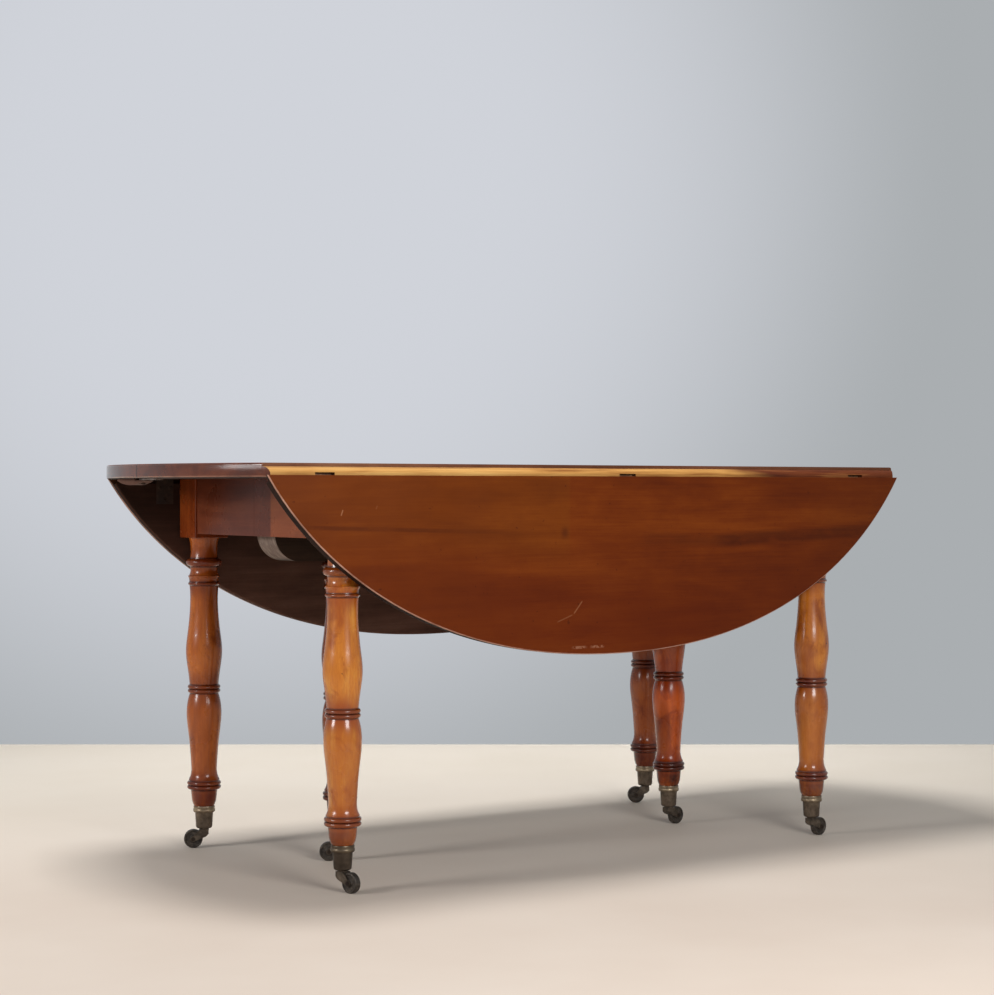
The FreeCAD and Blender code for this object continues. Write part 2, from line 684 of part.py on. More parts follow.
def side_apron(side, side_name):
    """The apron along the table between the two corner legs, notched for the leaf supports."""
    block_side = corner_leg_reach - half_stock
    board = box(side_name + "_side_board", (-block_side, side_apron_back * side, apron_bottom),
                (block_side, side_apron_face * side, underside))
    tenon_reach = block_side + size("tenon_length")
    middle = (side_apron_face + side_apron_back) * (side / 2)
    tenons = box(side_name + "_side_tenons",
                 (-tenon_reach, middle - size("tenon_thickness") / 2, apron_bottom + size("tenon_shoulder")),
                 (tenon_reach, middle + size("tenon_thickness") / 2, underside - size("tenon_shoulder")))
    tools = []
    for end in (LEFT, RIGHT):
        centre = loper_reach * end
        opening = size("loper_width") / 2 + size("loper_play")
        tools.append(box("%s_loper_notch_%d" % (side_name, end),
                         (centre - opening, side_apron_back * side,
                          underside - size("loper_depth") - size("loper_play")),
                         (centre + opening, side_apron_face * side, underside)))
    for number, (x, y) in enumerate(screw_places(side)[:3]):
        tools += screw_pocket("%s_side_%d" % (side_name, number), x, y, (0, -side))
    body = fuse(side_name + "_side_body", [board, tenons])
    subpart(cut(side_name + "_side_cut", body, tools), side_name + "_side_apron")


def end_apron(side, side_name, end, end_name):
    """Half of an end apron, from a corner leg to the split."""
    tag = "%s_%s" % (side_name, end_name)
    block_inner = corner_leg_out - half_stock
    board = box(tag + "_end_board", (end_apron_back * end, half_split * side, apron_bottom),
                (end_apron_face * end, block_inner * side, underside))
    middle = (end_apron_face + end_apron_back) * (end / 2)
    tenon = box(tag + "_end_tenon",
                (middle - size("tenon_thickness") / 2, block_inner * side,
                 apron_bottom + size("tenon_shoulder")),
                (middle + size("tenon_thickness") / 2, (block_inner + size("tenon_length")) * side,
                 underside - size("tenon_shoulder")))
    x, y = screw_places(side)[3 if end == LEFT else 4]
    tools = screw_pocket(tag + "_end", x, y, (-end, 0))
    subpart(cut(tag + "_end_cut", fuse(tag + "_end_body", [board, tenon]), tools), tag + "_apron")


def top_screws(side, side_name):
    """Screws from the apron pockets up into the half top."""
    ledge = underside - size("screw_ledge")
    screws = []
    for number, (x, y) in enumerate(screw_places(side)):
        tag = "%s_top_screw_%d" % (side_name, number)
        shank = cylinder(tag + "_shank", size("screw_radius"), (x, y, ledge),
                         size("screw_ledge") + size("screw_bite"))
        head = cylinder(tag + "_head", size("screw_head_radius"),
                        (x, y, ledge - size("screw_head_thickness")), size("screw_head_thickness"))
        screws.append(fuse(tag, [shank, head]))
    subpart(compound(side_name + "_top_screw_group", screws), side_name + "_top_screws")


def lopers(side, side_name):
    """Pull-out leaf supports, pushed in flush with the side apron, and their keepers."""
    bars = []
    keepers = []
    inner_end = side_apron_face - size("loper_length")
    for end in (LEFT, RIGHT):
        centre = loper_reach * end
        half_width = size("loper_width") / 2
        loper_bottom = underside - size("loper_depth")
        bars.append(box("%s_loper_%d" % (side_name, end),
                        (centre - half_width, inner_end * side, loper_bottom),
                        (centre + half_width, side_apron_face * side, underside)))
        keeper_start = inner_end + size("keeper_from_end")
        keeper_end = keeper_start + size("keeper_length")
        opening = half_width + size("loper_play")
        outer = opening + size("keeper_wall")
        channel_floor = loper_bottom - size("loper_play")
        block = box("%s_keeper_block_%d" % (side_name, end),
                    (centre - outer, keeper_start * side, channel_floor - size("keeper_floor")),
                    (centre + outer, keeper_end * side, underside))
        channel = box("%s_keeper_channel_%d" % (side_name, end),
                      (centre - opening, keeper_start * side, channel_floor),
                      (centre + opening, keeper_end * side, underside))
        keepers.append(cut("%s_keeper_%d" % (side_name, end), block, [channel]))
    subpart(compound(side_name + "_loper_group", bars), side_name + "_lopers")
    subpart(compound(side_name + "_keeper_group", keepers), side_name + "_loper_keepers")


# --- the turned legs ----------------------------------------------------------------------------

def at(radius, height):
    """A point of a turning's outline."""
    return point(radius, 0, height)


def between(low, high, share):
    """The value a share of the way from low to high."""
    return low * (1 - share) + high * share


def straight(*corners):
    return [Part.LineSegment(a, b).toShape() for a, b in zip(corners, corners[1:])]


def bead(low, high, reach):
    return [Part.Arc(low, at(reach, (low.z + high.z) / 2), high).toShape()]


def flowing(*corners):
    curve = Part.BSplineCurve()
    curve.interpolate(list(corners))
    return [curve.toShape()]


def double_ring(below, groove_height, radius, above):
    """Two beads with a groove between them, joined to the outline below and above."""
    groove = radius - size("bead_depth")
    low = at(groove, groove_height - size("bead_height"))
    middle = at(groove, groove_height)
    high = at(groove, groove_height + size("bead_height"))
    beads = bead(low, middle, radius) + bead(middle, high, radius)
    return straight(below, low) + beads + straight(high, above)


def foot_edges():
    """The leg inside its cup, the foot bulb and the lower double ring, up to the lower vase."""
    ring = size("lower_ring_height")
    lip = collar_bottom + size("cup_collar_height")
    ledge = collar_bottom + size("cup_ledge_rise")
    shoulder = size("shoulder_radius")
    foot_top = at(size("foot_top_radius"), ring - size("bead_height") - size("ring_slope"))
    vase_start = at(size("cove_radius"), ring + size("bead_height") + size("cove_slope"))
    edges = straight(at(0, spigot_foot), at(size("spigot_low_radius"), spigot_foot),
                     at(size("spigot_top_radius"), ledge), at(shoulder, ledge), at(shoulder, lip))
    edges += flowing(at(shoulder, lip), at(size("foot_hollow_radius"), lip + size("foot_hollow_rise")),
                     at(size("foot_radius"), lip + size("foot_rise")), foot_top)
    edges += double_ring(foot_top, ring, size("lower_ring_radius"), vase_start)
    return edges, vase_start


def vase_edges(vase_start):
    """Both vases and the double ring between them, up to just below the thin collar."""
    ring = size("middle_ring_height")
    waist_rise = size("bead_height") + size("ring_slope")
    waist_low = at(size("waist_radius"), ring - waist_rise)
    waist_high = at(size("waist_radius"), ring + waist_rise)
    cove = size("lower_ring_height") + size("slim_rise") * COVE_SHARE
    slim = size("lower_ring_height") + size("slim_rise")
    lower_belly = ring - size("lower_belly_drop")
    edges = flowing(vase_start, at(size("cove_foot_radius"), cove), at(size("slim_radius"), slim),
                    at(between(size("slim_radius"), size("lower_belly_radius"), SWELL_SHARE),
                       between(slim, lower_belly, 0.5)),
                    at(size("lower_belly_radius"), lower_belly), waist_low)
    edges += double_ring(waist_low, ring, size("middle_ring_radius"), waist_high)
    collar = beam_bottom - size("collar_drop")
    shaft = collar - size("shaft_drop")
    upper_belly = ring + size("upper_belly_rise")
    shaft_top = at(size("shaft_top_radius"), collar - size("shaft_top_drop"))
    edges += flowing(waist_high,
                     at(between(size("waist_radius"), size("upper_belly_radius"), UPPER_SWELL_SHARE),
                        between(ring, upper_belly, UPPER_SWELL_RISE_SHARE)),
                     at(size("upper_belly_radius"), upper_belly),
                     at(between(size("upper_belly_radius"), size("shaft_radius"), SHAFT_SHARE),
                        between(upper_belly, shaft, SHAFT_SHARE)),
                     at(size("shaft_radius"), shaft), shaft_top)
    return edges, shaft_top


def neck_edges(shaft_top):
    """The thin collar, the flared lip, the neck and the large ring."""
    collar = beam_bottom - size("collar_drop")
    half_collar = size("collar_height") / 2
    groove = size("collar_radius") - size("collar_depth")
    flare = collar + size("flare_rise")
    edge_top = flare + size("flare_edge")
    bevel_top = at(groove, edge_top + size("flare_bevel"))
    neck_ring = beam_bottom - size("neck_ring_drop")
    half_ring = size("neck_ring_height") / 2
    ring_low = at(size("neck_radius") + size("neck_fillet"), neck_ring - half_ring)
    ring_high = at(size("neck_radius") + size("neck_fillet"), neck_ring + half_ring)
    edges = straight(shaft_top, at(groove, collar - half_collar))
    edges += bead(at(groove, collar - half_collar), at(groove, collar + half_collar), size("collar_radius"))
    edges += flowing(at(groove, collar + half_collar),
                     at(size("flare_hollow_radius"), collar + size("flare_hollow_rise")),
                     at(size("collar_radius"), flare))
    edges += straight(at(size("collar_radius"), flare), at(size("collar_radius"), edge_top), bevel_top)
    edges += flowing(bevel_top, at(size("neck_radius"), flare + size("neck_rise")), ring_low)
    edges += bead(ring_low, ring_high, size("neck_ring_radius"))
    return edges, ring_high


def corner_leg_head(ring_high):
    """Neck from the large ring up into the square block."""
    entry = block_bottom + size("block_entry")
    top = at(size("block_neck_radius"), block_bottom)
    slim = between(as_size(ring_high.z), block_bottom, BLOCK_NECK_SLIM_SHARE)
    flare = between(as_size(ring_high.z), block_bottom, BLOCK_NECK_FLARE_SHARE)
    return (flowing(ring_high, at(size("upper_neck_radius"), slim),
                    at(size("neck_radius") + size("neck_fillet"), flare), top)
            + straight(top, at(size("block_neck_radius"), entry), at(0, entry)))


def centre_leg_head(ring_high):
    """Round tenon of a centre leg, which goes up into the beam."""
    dowel_top = beam_bottom + size("dowel_length")
    return straight(ring_high, at(size("neck_radius"), beam_bottom), at(size("dowel_radius"), beam_bottom),
                    at(size("dowel_radius"), dowel_top), at(0, dowel_top))


def turning_profile(name, upper_end):
    """The half section of a turned leg, closed along its axis."""
    edges, vase_start = foot_edges()
    vases, shaft_top = vase_edges(vase_start)
    neck, ring_high = neck_edges(shaft_top)
    edges += vases + neck + upper_end(ring_high)
    edges += straight(edges[-1].Vertexes[-1].Point, at(0, spigot_foot))
    profile = doc.addObject("Part::Feature", name)
    profile.Shape = Part.Face(Part.Wire(Part.__sortEdges__(edges)))
    return profile


def turning(name, profile):
    """A turned leg about the Z axis."""
    obj = doc.addObject("Part::Revolution", name)
    obj.Source = profile
    obj.Axis = Z_AXIS
    obj.Base = Vector(0, 0, 0)
    obj.Angle = 360
    obj.Solid = True
    return obj


def eased_block(tag):
    """A corner leg's square block with its upright and lower edges worn round."""
    block = box(tag + "_block", (-half_stock, -half_stock, block_bottom), (half_stock, half_stock, underside))
    doc.recompute()
    eased = doc.addObject("Part::Fillet", tag + "_eased_block")
    eased.Base = block
    radius = size("block_ease").number
    below_top = [index for index, edge in enumerate(block.Shape.Edges, start=1)
                 if edge.BoundBox.ZMin < underside.number - size("block_drop").number]
    eased.Edges = [(index, radius, radius) for index in below_top]
    return eased


def corner_leg(side, side_name, end, end_name, profile):
    """Square block with two mortises, turned below, drawn about its own axis and then placed."""
    tag = "%s_%s_leg" % (side_name, end_name)
    block = eased_block(tag)
    tenon_middle = apron_face_offset - size("apron_thickness") / 2
    half_tenon = size("tenon_thickness") / 2
    low = apron_bottom + size("tenon_shoulder")
    high = underside - size("tenon_shoulder")
    inner = half_stock - size("tenon_length")
    side_mortise = box(tag + "_side_mortise", (-half_stock * end, tenon_middle * side - half_tenon, low),
                       (-inner * end, tenon_middle * side + half_tenon, high))
    end_mortise = box(tag + "_end_mortise", (tenon_middle * end - half_tenon, -half_stock * side, low),
                      (tenon_middle * end + half_tenon, -inner * side, high))
    body = fuse(tag + "_body", [block, turning(tag + "_turning", profile)])
    leg = cut(tag + "_cut", body, [side_mortise, end_mortise])
    place(leg, (corner_leg_reach * end, corner_leg_out * side, 0))
    subpart(leg, tag)


# --- the centre beam and the slides -------------------------------------------------------------

def centre_beam():
    """Beam along the table, its lower end corners rounded, bored for the centre legs."""
    reach = end_apron_back - size("beam_clearance")
    rounding = size("beam_end_round")
    outline = [
        (-reach + rounding, beam_bottom),
        (reach - rounding, beam_bottom, rounding),
        (reach, beam_bottom + rounding),
        (reach, beam_top),
        (-reach, beam_top),
        (-reach, beam_bottom + rounding, rounding),
    ]
    beam = padded("beam_body", "XZ_Plane", outline, size("beam_width"))
    bores = [cylinder("beam_bore_%d" % end, size("dowel_radius"),
                      (centre_leg_reach * end, 0, beam_bottom), size("dowel_length"))
             for end in (LEFT, RIGHT)]
    subpart(cut("beam_cut", beam, bores), "centre_beam")


def centre_leg(end, end_name, profile):
    leg = turning(end_name + "_centre_turning", profile)
    place(leg, (centre_leg_reach * end, 0, 0))
    subpart(leg, end_name + "_centre_leg")


def groove_corners(face, inward):
    """Corners of a dovetail groove in a face at x = face, which opens away from inward."""
    root = size("tongue_root") + groove_ease
    tip = size("tongue_tip") + groove_ease
    bottom = face + size("tongue_depth") * inward
    return [(face, tongue_middle + root), (bottom, tongue_middle + tip),
            (bottom, tongue_middle - tip), (face, tongue_middle - root)]


def tongue_corners(face, outward):
    """Corners of a dovetail tongue on a face at x = face, from its lower root to its upper root."""
    tip = face + size("tongue_depth") * outward
    return [(face, tongue_middle - size("tongue_root")), (tip, tongue_middle - size("tongue_tip")),
            (tip, tongue_middle + size("tongue_tip")), (face, tongue_middle + size("tongue_root"))]


def slide_bearers():
    """Fixed slide bars across the beam, grooved on both faces."""
    bars = []
    for end, end_name in ((LEFT, "left"), (RIGHT, "right")):
        half = size("bearer_thickness") / 2
        centre = slide_reach * end
        left_face = centre - half
        right_face = centre + half
        outline = ([(left_face, beam_top), (right_face, beam_top)]
                   + groove_corners(right_face, -1)[::-1]
                   + [(right_face, slide_top), (left_face, slide_top)]
                   + groove_corners(left_face, 1))
        bars.append(padded(end_name + "_bearer", "XZ_Plane", outline, slide_length))
    subpart(compound("bearer_group", bars), "slide_bearers")


def slide_bar(name, face, way, grooved, bar_top):
    """A moving slide bar whose tongue side is at x = face and whose body lies along way from there."""
    outer = face + size("slide_thickness") * way
    outline = [(outer, slide_bottom), (face, slide_bottom)] + tongue_corners(face, -way)
    outline += [(face, bar_top), (outer, bar_top)]
    if grooved:
        outline += groove_corners(outer, -way)
    return padded(name, "XZ_Plane", outline, slide_length)


def slides(side, side_name):
    """A half's middle slide bars and the outer bars that are screwed under its top."""
    middle_bars = []
    outer_bars = []
    for end, end_name in ((LEFT, "left"), (RIGHT, "right")):
        tag = "%s_%s" % (side_name, end_name)
        # the near half runs on the outside of each slide set, the far half on the inside
        way = -end * side
        first_face = slide_reach * end + (size("bearer_thickness") / 2 + size("slide_gap")) * way
        second_face = first_face + (size("slide_thickness") + size("slide_gap")) * way
        middle_bars.append(slide_bar(tag + "_middle_bar", first_face, way, True, slide_top))
        outer = slide_bar(tag + "_outer_bar", second_face, way, False, underside)
        relief = box(tag + "_outer_relief",
                     (second_face - size("tongue_depth") * way, half_split * side, slide_top),
                     (second_face + size("slide_thickness") * way, -slide_length / 2 * side,
                      underside))
        outer_bars.append(cut(tag + "_outer_cut", outer, [relief]))
    subpart(compound(side_name + "_middle_group", middle_bars), side_name + "_middle_slides")
    subpart(compound(side_name + "_outer_group", outer_bars), side_name + "_outer_slides")


# --- the latches that level the two half tops -----------------------------------------------------

def latch_hardware():
    """At each end a bowed cleat under the far top, a swinging latch above its tip and their screw."""
    cleats = []
    screws = []
    latch_top = underside - size("latch_play")
    latch_bottom = latch_top - size("latch_thickness")
    pivot = size("latch_pivot")
    start = size("cleat_start")
    finish = start + size("cleat_length")
    swing_room = pivot + size("latch_width") / 2 + size("latch_swing_room")
    for end, end_name in ((LEFT, "left"), (RIGHT, "right")):
        centre = cleat_reach * end
        low = underside - size("cleat_end_depth")
        outline = [
            (start, low, size("cleat_bow_radius")),
            (finish, low),
            (finish, underside),
            (start, underside),
        ]
        bowed = padded("%s_cleat_body" % end_name, "YZ_Plane", outline, size("cleat_width"))
        place(bowed, (centre, 0, 0))
        half_width = size("cleat_width") / 2
        step = box(end_name + "_cleat_step", (centre - half_width, start, latch_bottom - size("latch_play")),
                   (centre + half_width, swing_room, underside))
        head_seat = underside - size("cleat_end_depth") - size("screw_head_thickness")
        hole = cylinder(end_name + "_cleat_hole", size("screw_radius"), (centre, pivot, head_seat),
                        underside - head_seat)
        counterbore = cylinder(end_name + "_cleat_counterbore", size("screw_head_radius"),
                               (centre, pivot, head_seat - OVERRUN), OVERRUN)
        cleats.append(cut(end_name + "_cleat", bowed, [step, hole, counterbore]))
        head = cylinder(end_name + "_latch_screw_head", size("screw_head_radius"),
                        (centre, pivot, head_seat - size("screw_head_thickness")),
                        size("screw_head_thickness"))
        shank = cylinder(end_name + "_latch_screw_shank", size("screw_radius"), (centre, pivot, head_seat),
                         underside - head_seat + size("latch_screw_bite"))
        screws.append(fuse(end_name + "_latch_screw", [head, shank]))
        tongue = box(end_name + "_latch_bar", (centre - size("latch_width") / 2, -size("latch_overreach"),
                                               latch_bottom),
                     (centre + size("latch_width") / 2, pivot, latch_top))
        eye = cylinder(end_name + "_latch_eye", size("latch_width") / 2, (centre, pivot, latch_bottom),
                       size("latch_thickness"))
        eye_hole = cylinder(end_name + "_latch_eye_hole", size("screw_radius") + size("running_clearance"),
                            (centre, pivot, latch_bottom), size("latch_thickness"))
        subpart(cut(end_name + "_latch_cut", fuse(end_name + "_latch_body", [tongue, eye]), [eye_hole]),
                end_name + "_latch")
    subpart(compound("cleat_group", cleats), "latch_cleats")
    subpart(compound("latch_screw_group", screws), "latch_screws")


# --- the casters ----------------------------------------------------------------------------------

def caster_cup(tag, x, y):
    """Brass cup with a collar of two beads, bored for the swivel spindle."""
    bore = size("spindle_radius") + size("running_clearance")
    collar_lip = collar_bottom + size("cup_collar_height")
    collar_radius = size("shoulder_radius") + size("cup_collar_wall")
    ledge = collar_bottom + size("cup_ledge_rise")
    low_radius = size("spigot_low_radius") + size("cup_wall")
    outline = [
        (bore, cup_bottom),
        (low_radius - size("cup_chamfer"), cup_bottom),
        (low_radius, cup_bottom + size("cup_chamfer")),
        (size("spigot_top_radius") + size("cup_wall"), collar_bottom),
        (collar_radius, collar_bottom, size("cup_bead_round")),
        (collar_radius, collar_bottom + size("cup_bead_height"), size("cup_lip_round")),
        (collar_radius, collar_lip),
        (size("shoulder_radius"), collar_lip),
        (size("shoulder_radius"), ledge),
        (size("spigot_top_radius"), ledge),
        (size("spigot_low_radius"), spigot_foot),
        (size("spigot_low_radius"), cup_floor),
        (bore, cup_floor),
    ]
    return place(turned(tag + "_cup_body", "XZ_Plane", outline), (x, y, 0))


def caster_fork(tag, x, y, heading):
    """Swivelling fork with its riveted spindle, drawn with the wheel towards +X."""
    crown_top = cup_bottom - size("swivel_gap")
    crown_bottom = crown_top - size("fork_crown_height")
    heel = cup_bottom - size("fork_heel")
    cheek_top = crown_top - size("fork_cheek_drop")
    reach = size("fork_cheek_reach")
    trail = size("caster_trail")
    axle_height = size("wheel_radius")
    outline = [
        (-reach, cheek_top),
        (-reach, heel + size("fork_heel_bevel")),
        (-size("fork_heel_reach"), heel),
        (trail, axle_height - size("fork_arm_half")),
        (trail, axle_height + size("fork_arm_half")),
        (reach, cheek_top),
    ]
    half_width = fork_width / 2
    cheeks = padded(tag + "_cheeks", "XZ_Plane", outline, fork_width)
    crown = cylinder(tag + "_crown", size("fork_crown_radius"), (0, 0, crown_bottom),
                     size("fork_crown_height"))
    bosses = cylinder(tag + "_bosses", size("fork_boss_radius"), (trail, -half_width, axle_height),
                      fork_width, Y_AXIS)
    head_base = cup_floor + size("swivel_gap")
    spindle = cylinder(tag + "_spindle", size("spindle_radius"), (0, 0, crown_bottom),
                       head_base - crown_bottom)
    head = cylinder(tag + "_spindle_head", size("spindle_head_radius"), (0, 0, head_base),
                    size("spindle_head_thickness"))
    slot_width = size("wheel_width") + size("wheel_side_gap") * 2
    slot = cylinder(tag + "_wheel_slot", size("wheel_radius") + size("wheel_room"),
                    (trail, -slot_width / 2, axle_height), slot_width, Y_AXIS)
    axle_hole = cylinder(tag + "_axle_hole", size("axle_radius"), (trail, -half_width, axle_height),
                         fork_width, Y_AXIS)
    solid = fuse(tag + "_fork_body", [cheeks, crown, bosses, spindle, head])
    fork = cut(tag + "_fork_cut", solid, [slot, axle_hole])
    subpart(place(fork, (x, y, 0), Z_AXIS, heading), tag + "_caster_fork")


def axle_place(x, y, heading):
    """Centre of a caster's axle."""
    turn = math.radians(heading)
    return (x + size("caster_trail") * math.cos(turn), y + size("caster_trail") * math.sin(turn),
            size("wheel_radius"))


def caster_axle(tag, x, y, heading):
    """Riveted axle, drawn along Y."""
    half = fork_width / 2
    shank = cylinder(tag + "_axle_shank", size("axle_radius"), (0, -half, 0), fork_width, Y_AXIS)
    heads = [cylinder("%s_axle_head_%d" % (tag, number), size("axle_head_radius"), (0, half * way, 0),
                      size("axle_head_thickness"), Y_AXIS * way)
             for number, way in enumerate((-1, 1))]
    axle = fuse(tag + "_axle_body", [shank] + heads)
    subpart(place(axle, axle_place(x, y, heading), Z_AXIS, heading), tag + "_caster_axle")


def caster_wheel(tag, x, y, heading):
    """Wheel with rounded tread edges and dished sides, drawn about the Y axis."""
    bore = size("axle_radius") + size("running_clearance")
    half = size("wheel_width") / 2
    edge = size("wheel_edge")
    dish = half - size("wheel_dish")
    tread = size("wheel_radius")
    outline = [
        (bore, -half),
        (size("wheel_hub_radius"), -half),
        (size("wheel_hub_radius") + size("wheel_dish"), -dish),
        (size("wheel_rim_radius"), -dish),
        (size("wheel_rim_radius") + size("wheel_dish"), -half),
        (tread - edge, -half, edge),
        (tread, -half + edge),
        (tread, half - edge, edge),
        (tread - edge, half),
        (size("wheel_rim_radius") + size("wheel_dish"), half),
        (size("wheel_rim_radius"), dish),
        (size("wheel_hub_radius") + size("wheel_dish"), dish),
        (size("wheel_hub_radius"), half),
        (bore, half),
    ]
    wheel = turned(tag + "_wheel_body", "XY_Plane", outline)
    subpart(place(wheel, axle_place(x, y, heading), Z_AXIS, heading), tag + "_caster_wheel")


def casters(group_name, places):
    """Casters of legs that move together: a fork, axle and wheel each, and their cups as one group."""
    cups = []
    for tag, x, y in places:
        cups.append(caster_cup(tag, x, y))
        caster_fork(tag, x, y, HEADINGS[tag])
        caster_axle(tag, x, y, HEADINGS[tag])
        caster_wheel(tag, x, y, HEADINGS[tag])
    subpart(compound(group_name + "_cup_group", cups), group_name + "_caster_cups")


# --- the whole table --------------------------------------------------------------------------------

oval_blank = rounded_oval()
corner_profile = turning_profile("corner_leg_profile", corner_leg_head)
centre_profile = turning_profile("centre_leg_profile", centre_leg_head)

centre_beam()
slide_bearers()
for end, end_name in ((LEFT, "left"), (RIGHT, "right")):
    centre_leg(end, end_name, centre_profile)
casters("centre", [("left_centre", -centre_leg_reach, as_size(0)),
                   ("right_centre", centre_leg_reach, as_size(0))])

for side, side_name in ((NEAR, "near"), (FAR, "far")):
    half_top(side, side_name, oval_blank)
    leaf(side, side_name, oval_blank)
    hinges(side, side_name)
    side_apron(side, side_name)
    top_screws(side, side_name)
    lopers(side, side_name)
    slides(side, side_name)
    for end, end_name in ((LEFT, "left"), (RIGHT, "right")):
        end_apron(side, side_name, end, end_name)
        corner_leg(side, side_name, end, end_name, corner_profile)
    casters(side_name, [(side_name + "_left", -corner_leg_reach, corner_leg_out * side),
                        (side_name + "_right", corner_leg_reach, corner_leg_out * side)])
joint_pegs()
latch_hardware()

doc.recompute()
for obj in doc.Objects:
    if "Invalid" in obj.State or "Error" in obj.State:
        raise RuntimeError("%s (%s) failed: %s" % (obj.Label, obj.Name, obj.State))
os.makedirs("parts", exist_ok=True)
for obj in parts:
    if obj.Shape.isNull() or not obj.Shape.isValid():
        raise RuntimeError("%s has no valid shape" % obj.Label)
    obj.Shape.exportStep("parts/%s.step" % obj.Label)
print("%d sub-parts written" % len(parts))
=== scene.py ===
import math

import bmesh
import bpy
from mathutils import Matrix, Vector


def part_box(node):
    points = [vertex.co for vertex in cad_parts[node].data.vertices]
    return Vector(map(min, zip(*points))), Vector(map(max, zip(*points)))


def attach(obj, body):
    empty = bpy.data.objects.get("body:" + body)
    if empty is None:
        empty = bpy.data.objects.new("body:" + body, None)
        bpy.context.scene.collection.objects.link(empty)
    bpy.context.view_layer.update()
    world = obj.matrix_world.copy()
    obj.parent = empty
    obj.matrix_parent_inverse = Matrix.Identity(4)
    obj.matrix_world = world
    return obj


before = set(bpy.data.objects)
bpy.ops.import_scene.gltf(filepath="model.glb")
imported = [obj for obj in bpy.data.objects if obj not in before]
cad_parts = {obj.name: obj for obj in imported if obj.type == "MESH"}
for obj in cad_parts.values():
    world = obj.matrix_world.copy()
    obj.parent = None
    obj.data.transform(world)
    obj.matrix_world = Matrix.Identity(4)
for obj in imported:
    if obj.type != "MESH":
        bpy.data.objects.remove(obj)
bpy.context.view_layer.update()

# An old oval drop-leaf table in polished fruitwood on turned legs with brass cup casters.
# Metres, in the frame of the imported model: X along the table, Y across it, Z up.

NEAR, FAR = -1, 1
SIDES = (("near", NEAR), ("far", FAR))
ENDS = (("left", -1), ("right", 1))
CASTERS = ("near_left", "near_right", "far_left", "far_right", "left_centre", "right_centre")
MILLIMETRE = 0.001


# --- places that come from the frame ---------------------------------------------------------------

table_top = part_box("near_top")[1].z
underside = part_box("near_side_apron")[1].z
hinge_line = (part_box("far_hinge_pins")[1].y
              - (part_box("far_hinge_pins")[1].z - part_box("far_hinge_pins")[0].z) / 2)
pivot_height = (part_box("far_hinge_pins")[1].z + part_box("far_hinge_pins")[0].z) / 2

# The rule joint: depth of the step above it, and how far the leaf's hollow reaches from the pivot.
JOINT_STEP = 6 * MILLIMETRE
COVE_DEPTH = 13.7 * MILLIMETRE
COVE_REACH = 13.3 * MILLIMETRE
# Height of the legs' square heads under the top, and where the left end apron turns to warmer wood.
HEAD_HEIGHT = 113 * MILLIMETRE
WARM_BOARD_EDGE = -65 * MILLIMETRE
SEAM_HALF_WIDTH = 0.9 * MILLIMETRE
# Strength of the rim's clear polish, and how round the rim is worn.
RIM_COAT = 1.0
RIM_CROWN = 10.0


def srgb(code):
    """A colour written as six hexadecimal digits, as the linear values that a shader takes."""
    values = [int(code[index:index + 2], 16) / 255 for index in (0, 2, 4)]
    linear = [v / 12.92 if v <= 0.04045 else ((v + 0.055) / 1.055) ** 2.4 for v in values]
    return (*linear, 1.0)


# --- a short way to write node materials -------------------------------------------------------------

